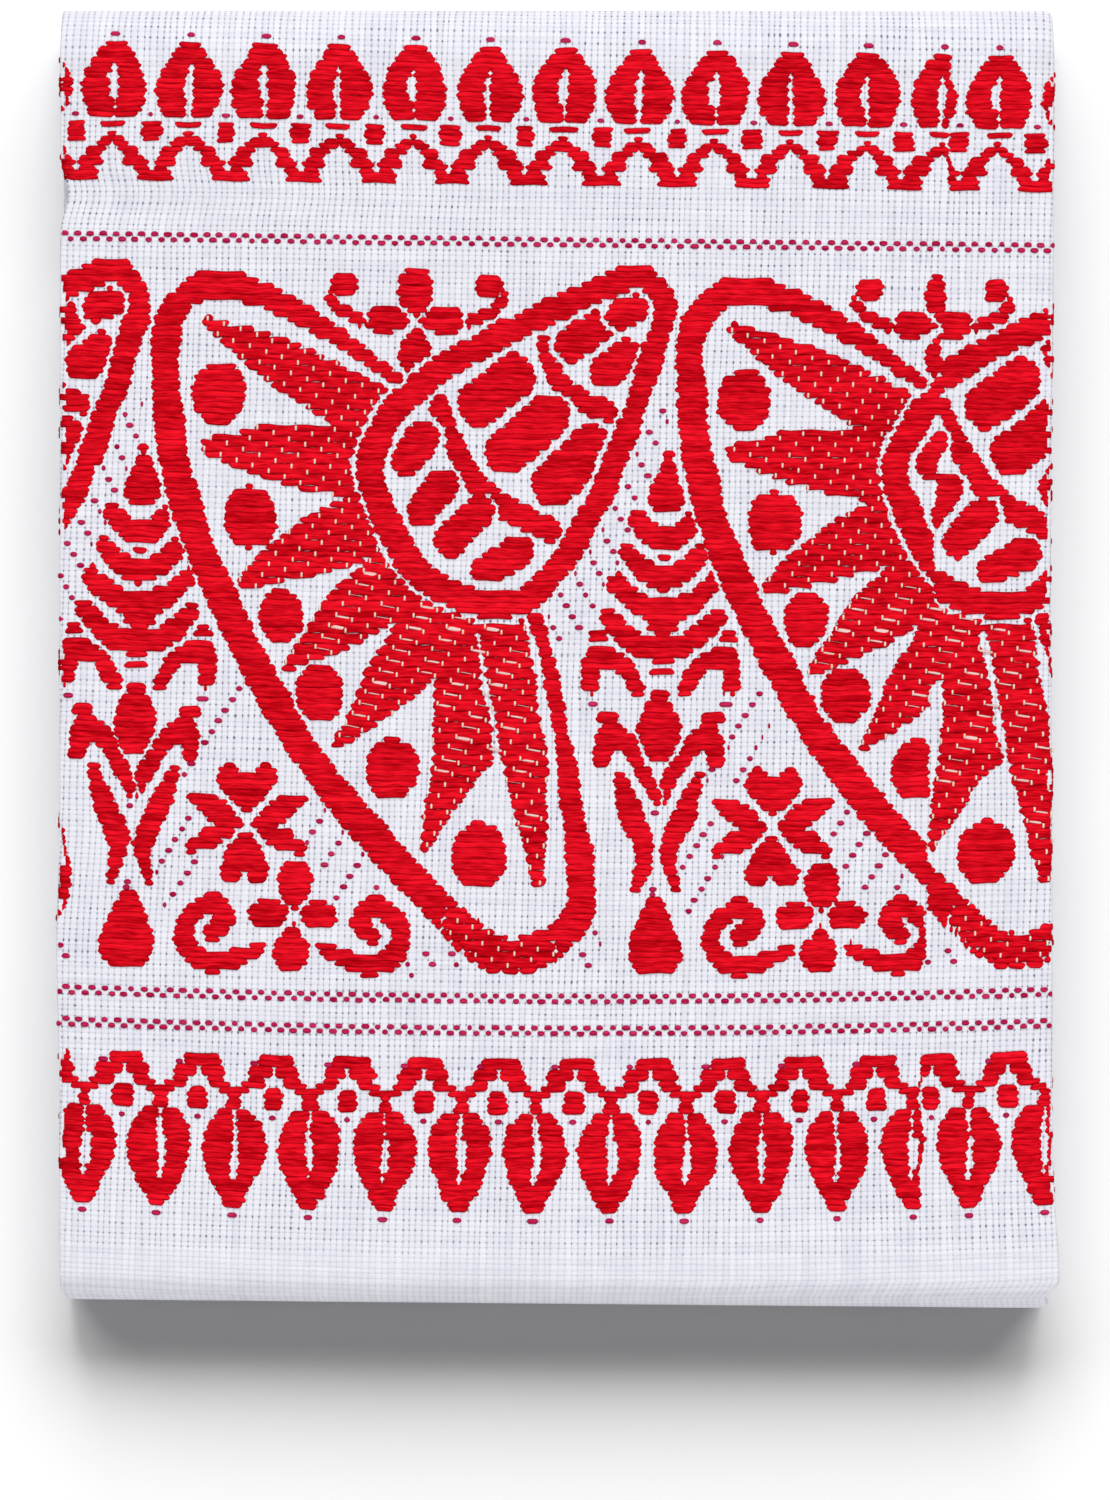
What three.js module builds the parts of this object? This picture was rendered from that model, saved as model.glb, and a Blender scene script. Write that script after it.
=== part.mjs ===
// A handwoven cotton towel, folded for a shelf and lying on its back, in millimetres with +Z up.
// The towel is doubled twice across its width into a band of four plies. The band is then laid in
// three lengths and doubled once more, so that six layers of it nest in one back-and-forth section.
// The decorated face is on top. The doubled edge is at the front (-Y), and the towel's own end falls
// softly over the back edge (+Y). The origin is under the middle of the folded towel.
import * as THREE from "three";

// The folded size and the cloth.
const FACE_WIDTH = 176;
const FACE_DEPTH = 231;
const PLY = 0.5;
const PLIES = 4;
const LAYERS = 6;
const LAYER_GAP = 0.4;

// The band of plies that every layer is made of.
const BAND = PLY * PLIES;
const HALF_BAND = BAND / 2;
const LAYER_PITCH = BAND + LAYER_GAP;

// The side folds of the band: one broad fold on the right, and on the left a narrow fold of the two
// outer plies above the two selvedges.
const RIGHT_FOLD_REACH = 1.6;
const LEFT_FOLD_REACH = 0.8;
const PARTING = 0.2;
const PARTING_DEPTH = 6;
const INNER_SELVEDGE_SETBACK = 1.0;
const OUTER_SELVEDGE_SETBACK = 0.4;
const SELVEDGE_NOTCH = 2.2;
const SELVEDGE_ROUND = 0.2;

// The doubled front edge: three nested turns, the two inner ones set back behind the outer roll.
const FRONT_ROLL_REACH = 4;
const MIDDLE_TURN_REACH = 3.6;
const INNER_TURNS_SETBACK = 2;

// The front edge lies a little askew: it is set back to the left, and its right corner sags forward.
const FRONT_SKEW = 1.1;
const FRONT_CORNER_SAG = 0.9;
const FRONT_CORNER_RUN = 12;
const FRONT_SKEW_START = -60;

// The back edge: two small turns, a loose inner end, and the towel's end falling over them.
const SMALL_TURN = LAYER_PITCH / 2;
const END_FALL_REACH = 8;
const END_FALL_DROP = 8;
const END_HANGS_TO = 3.2;
const UPPER_TURN_PAST = 1;
const LOWER_TURN_PAST = 3.5;
const INNER_END_SETBACK = 4;

// Where the flat of the top layer begins and ends.
const FRONT = -FACE_DEPTH / 2 + FRONT_ROLL_REACH + HALF_BAND;
const BACK = FACE_DEPTH / 2 - END_FALL_REACH - HALF_BAND;

// Each layer's side edges, as steps out from the nominal width at its front and its back.
const LAYER_EDGES = [
  { level: 0, leftFront: 0.3, leftBack: -0.5, rightFront: -0.4, rightBack: 0.2 },
  { level: 1, leftFront: -0.6, leftBack: 0.2, rightFront: 0.1, rightBack: -0.5 },
  { level: 2, leftFront: -0.2, leftBack: -0.8, rightFront: -0.7, rightBack: 0.3 },
  { level: 3, leftFront: -0.7, leftBack: -0.3, rightFront: 0.2, rightBack: -0.6 },
  { level: 4, leftFront: 0.1, leftBack: -0.6, rightFront: -0.5, rightBack: -0.1 },
  { level: 5, leftFront: 0.2, leftBack: 0.0, rightFront: 0.4, rightBack: 0.9 },
];

// Bends of the top layer's side edges: how far each one steps out, where it is and how long it runs.
const EDGE_BENDS = [
  { side: "left", y: 83, out: -1.3, run: 5 },
  { side: "left", y: -52, out: 0.5, run: 14 },
  { side: "right", y: -112, out: 1.4, run: 16 },
  { side: "right", y: 20, out: -0.5, run: 40 },
];

// Soft swells of the stack: how much of its height each one adds, and where it lies.
const SWELLS = [
  { x: -30, y: -60, spread: 60, lift: 0.05 },
  { x: 55, y: 40, spread: 55, lift: 0.04 },
  { x: -88, y: 83, spread: 16, lift: -0.07 },
  { x: 88, y: 105, spread: 35, lift: -0.06 },
  { x: -88, y: -110, spread: 40, lift: -0.05 },
  { x: 20, y: 112, spread: 45, lift: -0.04 },
];

// Steps along the cloth.
const STEPS = {
  topFlat: 30,
  flat: 9,
  endFall: 8,
  frontRoll: 14,
  middleTurn: 12,
  smallTurn: 6,
  rightFold: 6,
  leftFold: 4,
  acrossFace: 6,
};

const levelHeight = (level) => HALF_BAND + level * LAYER_PITCH;
const bell = (distance, run) => Math.exp(-((distance / run) ** 2));

// One stop on the band's middle line: its place in the YZ plane, its outward normal, and the layers
// that it lies between, with the share of the way from the first to the second.
function stop(y, z, normalY, normalZ, from, to, share) {
  return { y, z, normalY, normalZ, from, to, share };
}

// A straight length on one level, laid towards the front or the back. Its outer side is up on the
// way to the front, and down on the way to the back.
function flatLength(level, startY, endY, steps) {
  const outward = Math.sign(startY - endY);
  const stops = [];
  for (let i = 0; i <= steps; i++) {
    const y = THREE.MathUtils.lerp(startY, endY, i / steps);
    stops.push(stop(y, levelHeight(level), 0, outward, level, level, 0));
  }
  return stops;
}

// A half turn from one level to another, as a half ellipse that reaches to the front or the back.
// The outer side of the band is on the outside of the turn only where outside is true.
function halfTurn(from, to, startY, reach, outside, steps) {
  const middle = (levelHeight(from) + levelHeight(to)) / 2;
  const rise = levelHeight(from) - middle;
  const facing = outside ? 1 : -1;
  const stops = [];
  for (let i = 1; i < steps; i++) {
    const share = i / steps;
    const along = Math.sin(Math.PI * share);
    const up = Math.cos(Math.PI * share);
    const normal = new THREE.Vector2(along / reach, up / rise).normalize();
    stops.push(
      stop(
        startY + reach * along,
        middle + rise * up,
        facing * normal.x,
        facing * normal.y,
        from,
        to,
        share,
      ),
    );
  }
  return stops;
}

// The towel's end, from its hanging edge up and over to the flat of the top layer.
function fallingEnd() {
  const top = LAYERS - 1;
  const shoulder = levelHeight(top) - END_FALL_DROP;
  const stops = [stop(BACK + END_FALL_REACH, END_HANGS_TO, 1, 0, top, top, 0)];
  for (let i = 0; i < STEPS.endFall; i++) {
    const angle = (Math.PI / 2) * (i / STEPS.endFall);
    const normal = new THREE.Vector2(
      Math.cos(angle) / END_FALL_REACH,
      Math.sin(angle) / END_FALL_DROP,
    ).normalize();
    stops.push(
      stop(
        BACK + END_FALL_REACH * Math.cos(angle),
        shoulder + END_FALL_DROP * Math.sin(angle),
        normal.x,
        normal.y,
        top,
        top,
        0,
      ),
    );
  }
  return stops;
}

// The whole back-and-forth section, from the falling end on top to the loose end in the middle.
function foldedLine() {
  const upperTurn = BACK + UPPER_TURN_PAST;
  const lowerTurn = BACK + LOWER_TURN_PAST;
  const innerTurns = FRONT + INNER_TURNS_SETBACK;
  return [
    ...fallingEnd(),
    ...flatLength(5, BACK, FRONT, STEPS.topFlat),
    ...halfTurn(5, 0, FRONT, -FRONT_ROLL_REACH, true, STEPS.frontRoll),
    ...flatLength(0, FRONT, lowerTurn, STEPS.flat),
    ...halfTurn(0, 1, lowerTurn, SMALL_TURN, true, STEPS.smallTurn),
    ...flatLength(1, lowerTurn, innerTurns, STEPS.flat),
    ...halfTurn(1, 4, innerTurns, -MIDDLE_TURN_REACH, false, STEPS.middleTurn),
    ...flatLength(4, innerTurns, upperTurn, STEPS.flat),
    ...halfTurn(4, 3, upperTurn, SMALL_TURN, false, STEPS.smallTurn),
    ...flatLength(3, upperTurn, innerTurns, STEPS.flat),
    ...halfTurn(3, 2, innerTurns, -SMALL_TURN, true, STEPS.smallTurn),
    ...flatLength(2, innerTurns, BACK - INNER_END_SETBACK, STEPS.flat),
  ];
}

// One point of the band's cross-section: its share of the width, a step along X and its height.
function sectionPoint(share, step, height) {
  return { share, step, height };
}

// A round side fold between two heights, from the lower to the upper one on the right side, and
// from the upper to the lower one on the left.
function sideFold(share, reach, low, high, steps) {
  const side = Math.sign(share - 0.5);
  const middle = (low + high) / 2;
  const rise = (high - low) / 2;
  const points = [];
  for (let i = 0; i <= steps; i++) {
    const angle = Math.PI * (i / steps - 0.5);
    const out = side * reach * (Math.cos(angle) - 1);
    points.push(sectionPoint(share, out, middle + side * rise * Math.sin(angle)));
  }
  return points;
}

// The stops between the two sides of a face.
function acrossFace(fromShare, toShare, height) {
  const points = [];
  for (let i = 1; i < STEPS.acrossFace; i++) {
    const share = THREE.MathUtils.lerp(fromShare, toShare, i / STEPS.acrossFace);
    points.push(sectionPoint(share, 0, height));
  }
  return points;
}

// The band's closed cross-section, anticlockwise as seen from the front.
function bandSection() {
  const parted = PARTING / 2;
  const inner = INNER_SELVEDGE_SETBACK;
  const outer = OUTER_SELVEDGE_SETBACK;
  const round = SELVEDGE_ROUND;
  return [
    ...acrossFace(0, 1, -HALF_BAND),
    ...sideFold(1, RIGHT_FOLD_REACH, -HALF_BAND, HALF_BAND, STEPS.rightFold),
    ...acrossFace(1, 0, HALF_BAND),
    ...sideFold(0, LEFT_FOLD_REACH, parted, HALF_BAND, STEPS.leftFold),
    sectionPoint(0, PARTING_DEPTH, parted),
    sectionPoint(0, PARTING_DEPTH, -parted),
    sectionPoint(0, inner + round, -parted),
    sectionPoint(0, inner, -parted - round / 2),
    sectionPoint(0, inner, -PLY + round / 2),
    sectionPoint(0, SELVEDGE_NOTCH, -PLY),
    sectionPoint(0, outer, -PLY - round / 2),
    sectionPoint(0, outer, -HALF_BAND + round / 2),
    sectionPoint(0, outer + round, -HALF_BAND),
  ];
}

// How far a layer's side edge steps out at a place along its depth.
function layerEdge(level, side, y) {
  const row = LAYER_EDGES[level];
  const towardsBack = THREE.MathUtils.clamp((y - FRONT) / (BACK - FRONT), 0, 1);
  const plain = THREE.MathUtils.lerp(row[`${side}Front`], row[`${side}Back`], towardsBack);
  if (level !== LAYERS - 1) return plain;
  const bends = EDGE_BENDS.filter((bend) => bend.side === side);
  return bends.reduce((sum, bend) => sum + bend.out * bell(y - bend.y, bend.run), plain);
}

// The X of a side edge at a stop. In a turn it passes smoothly from one layer to the next.
function edgeAt(side, place) {
  const from = layerEdge(place.from, side, place.y);
  const to = layerEdge(place.to, side, place.y);
  const out = FACE_WIDTH / 2 + THREE.MathUtils.lerp(from, to, place.share);
  return side === "left" ? -out : out;
}

// The Y of a point once the front is set askew, more and more towards the front edge.
function skewed(x, y) {
  const reach = FACE_DEPTH / 2 + FRONT_SKEW_START;
  const share = THREE.MathUtils.clamp((FRONT_SKEW_START - y) / reach, 0, 1);
  const fromRight = FACE_WIDTH / 2 - x;
  const sag = FRONT_CORNER_SAG * (1 - bell(fromRight, FRONT_CORNER_RUN));
  return y + share ** 2 * ((FRONT_SKEW * fromRight) / FACE_WIDTH + sag);
}

// The stack swells and thins a little over its face, in proportion to the height, so that its
// underside stays flat and its layers stay apart.
function swollen(x, y, z) {
  const lift = SWELLS.reduce(
    (sum, swell) => sum + swell.lift * bell(Math.hypot(x - swell.x, y - swell.y), swell.spread),
    0,
  );
  return z * (1 + lift);
}

// The solid: the cross-section carried along the folded line, closed by a flat cap at each end.
function foldedTowelGeometry() {
  const line = foldedLine();
  const section = bandSection();
  const positions = [];
  for (const place of line) {
    const left = edgeAt("left", place);
    const right = edgeAt("right", place);
    for (const point of section) {
      const x = THREE.MathUtils.lerp(left, right, point.share) + point.step;
      const y = skewed(x, place.y + place.normalY * point.height);
      const z = place.z + place.normalZ * point.height;
      positions.push(x, y, swollen(x, y, z));
    }
  }

  const count = section.length;
  const faces = [];
  for (let row = 0; row + 1 < line.length; row++) {
    for (let i = 0; i < count; i++) {
      const next = (i + 1) % count;
      const a = row * count + i;
      const b = row * count + next;
      const c = (row + 1) * count + next;
      const d = (row + 1) * count + i;
      faces.push(a, b, c, a, c, d);
    }
  }

  const outline = section.map((p) => new THREE.Vector2(p.share * FACE_WIDTH + p.step, p.height));
  const lastRow = (line.length - 1) * count;
  for (const [a, b, c] of THREE.ShapeUtils.triangulateShape(outline, [])) {
    faces.push(a, c, b);
    faces.push(lastRow + a, lastRow + b, lastRow + c);
  }

  const geometry = new THREE.BufferGeometry();
  geometry.setAttribute("position", new THREE.Float32BufferAttribute(positions, 3));
  geometry.setIndex(faces);
  return geometry;
}

// Sets the solid down with its underside at zero and its box centred over the origin.
function setDown(geometry) {
  geometry.computeBoundingBox();
  const { min, max } = geometry.boundingBox;
  geometry.translate(-(min.x + max.x) / 2, -(min.y + max.y) / 2, -min.z);
  geometry.computeVertexNormals();
  return geometry;
}

const whiteCotton = new THREE.MeshStandardMaterial({
  name: "white cotton",
  color: new THREE.Color(0.79, 0.79, 0.85),
  roughness: 0.92,
  metalness: 0,
});

const towel = new THREE.Mesh(setDown(foldedTowelGeometry()), whiteCotton);
towel.name = "towel";

const foldedTowel = new THREE.Group();
foldedTowel.name = "folded towel";
foldedTowel.add(towel);

export default foldedTowel;
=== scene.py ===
"""A folded handwoven cotton towel with a red inlaid border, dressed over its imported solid.

The cloth is one thin sheet, doubled twice across its width and laid in six layers along its length.
The red border is real yarn: a chart of brush strokes is read on the loom's own grid of ends and picks,
and every run of covered ends becomes one float of yarn that lies on the sheet. Sizes are in millimetres
until a mesh is made, with the origin under the middle of the towel, +Y to its back and +Z up.
"""

import logging
import math
from dataclasses import dataclass, field
from enum import Enum, IntEnum

import bpy
import numpy as np
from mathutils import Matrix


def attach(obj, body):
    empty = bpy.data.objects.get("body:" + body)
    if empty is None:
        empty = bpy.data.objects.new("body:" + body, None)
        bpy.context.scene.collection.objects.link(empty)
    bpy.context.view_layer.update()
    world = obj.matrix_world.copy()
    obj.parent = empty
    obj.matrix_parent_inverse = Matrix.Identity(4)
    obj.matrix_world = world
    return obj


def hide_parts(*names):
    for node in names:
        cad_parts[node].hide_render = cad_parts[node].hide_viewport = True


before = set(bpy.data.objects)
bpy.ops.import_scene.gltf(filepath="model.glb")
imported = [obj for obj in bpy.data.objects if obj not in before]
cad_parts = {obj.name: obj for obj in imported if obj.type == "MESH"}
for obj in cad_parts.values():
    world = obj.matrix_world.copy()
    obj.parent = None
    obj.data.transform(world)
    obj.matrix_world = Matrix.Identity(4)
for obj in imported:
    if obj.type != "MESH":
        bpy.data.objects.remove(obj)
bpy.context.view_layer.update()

LOG = logging.getLogger("towel")
Array = np.ndarray
Node = tuple[float, float, float]

METRE = 0.001
BODY = "root"
CLOTH_NODE = "towel"
SEED = 22
TINY = 1e-9
WEAVE_MAP = "weave"
STRAND = "strand"
LINE_STEPS = 24
YARN_SIDES = 6
YARN_CAP = np.array([[0, 1, 2, 3], [0, 3, 4, 5]])


class Side(Enum):
    """The side of a layer that an edge bend belongs to."""

    LEFT = "left"
    RIGHT = "right"


class Slot(Enum):
    """The record's material slots."""

    COTTON = "white_cotton"
    INLAY = "red_inlay"


class Fill(IntEnum):
    """What a brush stroke lays on the chart."""

    BARE = 0
    SOLID = 1
    TIED = 2
    PARTED = 3
    PIN = 4
    SPRINKLE_LEFT = 5
    SPRINKLE_RIGHT = 6


def bell(distance: Array, run: float) -> Array:
    """A smooth bump of height one: e to the minus square of the distance over the run."""
    return np.exp(-np.square(distance / run))


def smooth(share: Array) -> Array:
    """A soft step from 0 to 1: three squares less two cubes of the clipped share."""
    clipped = np.clip(share, 0.0, 1.0)
    return clipped * clipped * (3.0 - 2.0 * clipped)


def new_piece(name: str, points: Array, quads: Array) -> bpy.types.Object:
    """Makes a smooth-shaded mesh object at the origin.

    Args:
        name: The object's name.
        points: Places in millimetres, one row for each.
        quads: Four indices of points for each face, anticlockwise from outside.

    Returns:
        The object, linked to the scene.
    """
    mesh = bpy.data.meshes.new(name)
    mesh.from_pydata((points * METRE).tolist(), [], quads.tolist())
    mesh.polygons.foreach_set("use_smooth", np.ones(len(quads), dtype=bool))
    mesh.update()
    piece = bpy.data.objects.new(name, mesh)
    bpy.context.scene.collection.objects.link(piece)
    return piece


@dataclass(frozen=True)
class Weave:
    """The loom's grid, and how its grain lies on the folded face.

    A place in the weave is (p, q): p along the picks and q along the ends, from the middle of the face.
    """

    end_pitch: float = 1.155
    pick_pitch: float = 0.97
    warp_lean: float = 0.028
    tilt_back: float = 0.0125
    tilt_front: float = 0.0035
    bow_back: float = 0.1
    bow_front: float = 1.5
    back_line: float = 73.8
    front_line: float = -60.8
    half_face: float = 88.0
    set_back: float = 0.7
    past_lines: float = 0.3
    past_face: float = 1.1

    def _askew(self, q: Array) -> tuple[Array, Array]:
        """The tilt and the bow of the pick at q, each passing evenly from the front line to the back.

        Args:
            q: Places along the ends.

        Returns:
            The tilt and the bow at each place.
        """
        share = (q - self.front_line) / (self.back_line - self.front_line)
        share = np.clip(share, -self.past_lines, 1.0 + self.past_lines)
        tilt = self.tilt_front + (self.tilt_back - self.tilt_front) * share
        bow = self.bow_front + (self.bow_back - self.bow_front) * share
        return tilt, np.maximum(bow, 0.0)

    def to_cloth(self, p: Array, q: Array) -> tuple[Array, Array]:
        """Takes a place in the weave to the sheet: leaned along the ends, tilted and bowed along the picks.

        Args:
            p: Places along the picks.
            q: Places along the ends.

        Returns:
            The same places as the sheet's own u and v.
        """
        tilt, bow = self._askew(q)
        reach = np.clip(p / self.half_face, -self.past_face, self.past_face)
        limit = self.past_face * self.half_face
        slope = np.clip(p, -limit, limit)
        return p + self.warp_lean * q, q + self.set_back - tilt * slope + bow * reach * reach

    def to_grain(self, u: Array, v: Array) -> tuple[Array, Array]:
        """The inverse of to_cloth near the face, by three rounds of correction.

        Args:
            u: Places across the sheet.
            v: Places along the sheet.

        Returns:
            The same places as p and q.
        """
        p, q = u - self.warp_lean * v, v - self.set_back
        for _ in range(3):
            u_now, v_now = self.to_cloth(p, q)
            p, q = p + u - u_now, q + v - v_now
        return p, q


@dataclass(frozen=True)
class Line:
    """A line in a plane, tabulated by its own length, with its outward normals.

    Each row of table is length, first place, second place, first normal, second normal, level.
    """

    table: Array
    marks: Array

    @staticmethod
    def joined(runs: list[Array]) -> "Line":
        """Joins runs of (first, second, normal, normal, level) rows end to end, measuring the length.

        Args:
            runs: The runs, in order.

        Returns:
            The line, with a mark at the end of each run.
        """
        rows = np.concatenate(runs)
        steps = np.hypot(*np.diff(rows[:, :2], axis=0).T)
        length = np.concatenate([[0.0], np.cumsum(steps)])
        ends = np.cumsum([len(run) for run in runs]) - 1
        marks = np.concatenate([[0.0], length[ends]])
        return Line(np.column_stack([length, rows]), marks)

    def at(self, length: Array) -> tuple[Array, ...]:
        """The first and second place, both normals and the level at the given lengths."""
        known = self.table[:, 0]
        return tuple(np.interp(length, known, self.table[:, c]) for c in range(1, 6))

    def stations(self, counts: tuple[int, ...]) -> Array:
        """Lengths spread evenly over each run, with the given number of steps on each.

        Args:
            counts: Steps on each run.

        Returns:
            The lengths, with both ends of the line.
        """
        spans = [
            np.linspace(a, b, n, endpoint=False)
            for a, b, n in zip(self.marks[:-1], self.marks[1:], counts)
        ]
        return np.concatenate([*spans, self.marks[-1:]])


def straight(start: float, end: float, second: float, normal: float, level: float) -> Array:
    """A straight run in the first direction, with its normal along the second.

    Args:
        start: Where the run starts.
        end: Where it ends.
        second: Its place in the second direction.
        normal: One or minus one.
        level: The layer that it belongs to.

    Returns:
        Rows for Line.joined.
    """
    first = np.linspace(start, end, LINE_STEPS)
    same = np.ones_like(first)
    return np.column_stack([first, same * second, same * 0.0, same * normal, same * level])


@dataclass(frozen=True)
class HalfTurn:
    """A half ellipse that carries a line from one height to another, reaching out on one side."""

    start: float
    low: float
    high: float
    reach: float
    facing: float
    levels: tuple[float, float] = (0.0, 0.0)
    steps: int = 60

    def run(self) -> Array:
        """The turn from low to high: reach times the sine, and half the rise times the cosine.

        Returns:
            Rows for Line.joined, without the two ends.
        """
        share = np.linspace(0.0, 1.0, self.steps + 1)[1:-1]
        out, up = np.sin(math.pi * share), np.cos(math.pi * share)
        rise = (self.low - self.high) / 2.0
        normal = np.column_stack([out / self.reach, up / rise])
        normal *= self.facing / np.linalg.norm(normal, axis=1, keepdims=True)
        level = self.levels[0] + (self.levels[1] - self.levels[0]) * share
        middle = (self.low + self.high) / 2.0
        return np.column_stack([self.start + self.reach * out, middle + rise * up, normal, level])


@dataclass(frozen=True)
class LayerEdge:
    """How far a layer's side edges step out at its front and its back."""

    left_front: float
    left_back: float
    right_front: float
    right_back: float

    def steps(self, side: Side) -> tuple[float, float]:
        """The front and the back step of one side.

        Args:
            side: Which edge.

        Returns:
            The two steps in millimetres.
        """
        if side is Side.LEFT:
            return self.left_front, self.left_back
        return self.right_front, self.right_back


@dataclass(frozen=True)
class EdgeBend:
    """A bend of the top layer's side edge: its place, its step out and its run."""

    side: Side
    y: float
    out: float
    run: float


@dataclass(frozen=True)
class Swell:
    """A soft rise or dip of the stack, as a share of its height."""

    x: float
    y: float
    spread: float
    lift: float


@dataclass(frozen=True)
class Crease:
    """A soft trough or ridge of the top face between two places."""

    start: tuple[float, float]
    end: tuple[float, float]
    breadth: float
    height: float


@dataclass(frozen=True)
class Ripple:
    """A faint wave over the whole face: its length each way, its phase and its height."""

    wave_x: float
    wave_y: float
    phase: float
    height: float


LAYER_EDGES = (
    LayerEdge(0.3, -0.5, -0.4, 0.2),
    LayerEdge(-0.6, 0.2, 0.1, -0.5),
    LayerEdge(-0.2, -0.8, -0.7, 0.3),
    LayerEdge(-0.7, -0.3, 0.2, -0.6),
    LayerEdge(0.1, -0.6, -0.5, -0.1),
    LayerEdge(0.2, 0.0, 0.4, 0.9),
)

EDGE_BENDS = (
    EdgeBend(Side.LEFT, y=83.0, out=-1.3, run=4.0),
    EdgeBend(Side.LEFT, y=-52.0, out=0.5, run=14.0),
    EdgeBend(Side.RIGHT, y=-112.0, out=1.4, run=16.0),
    EdgeBend(Side.RIGHT, y=20.0, out=-0.5, run=40.0),
)

SWELLS = (
    Swell(x=-30.0, y=-60.0, spread=60.0, lift=0.05),
    Swell(x=55.0, y=40.0, spread=55.0, lift=0.04),
    Swell(x=-88.0, y=83.0, spread=14.0, lift=-0.08),
    Swell(x=88.0, y=105.0, spread=35.0, lift=-0.06),
    Swell(x=-88.0, y=-110.0, spread=40.0, lift=-0.05),
    Swell(x=20.0, y=112.0, spread=45.0, lift=-0.04),
)

CREASES = (
    Crease(start=(-87.0, 82.0), end=(-62.0, 79.0), breadth=2.4, height=-0.30),
    Crease(start=(-88.0, 77.0), end=(-70.0, 74.0), breadth=3.0, height=0.22),
    Crease(start=(-23.0, -103.0), end=(-22.0, -115.0), breadth=1.6, height=-0.16),
    Crease(start=(30.0, -101.0), end=(33.0, -114.0), breadth=2.2, height=0.14),
    Crease(start=(-60.0, -104.0), end=(-58.0, -114.0), breadth=2.6, height=-0.12),
    Crease(start=(64.0, -50.0), end=(86.0, -47.0), breadth=3.0, height=-0.14),
    Crease(start=(-88.0, -48.0), end=(-74.0, -52.0), breadth=3.2, height=0.20),
    Crease(start=(52.0, 101.0), end=(54.0, 114.0), breadth=2.0, height=-0.12),
)

RIPPLES = (
    Ripple(wave_x=23.0, wave_y=61.0, phase=0.4, height=0.07),
    Ripple(wave_x=-37.0, wave_y=29.0, phase=1.9, height=0.06),
    Ripple(wave_x=13.0, wave_y=-45.0, phase=3.1, height=0.035),
    Ripple(wave_x=9.0, wave_y=120.0, phase=5.0, height=0.02),
)


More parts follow.
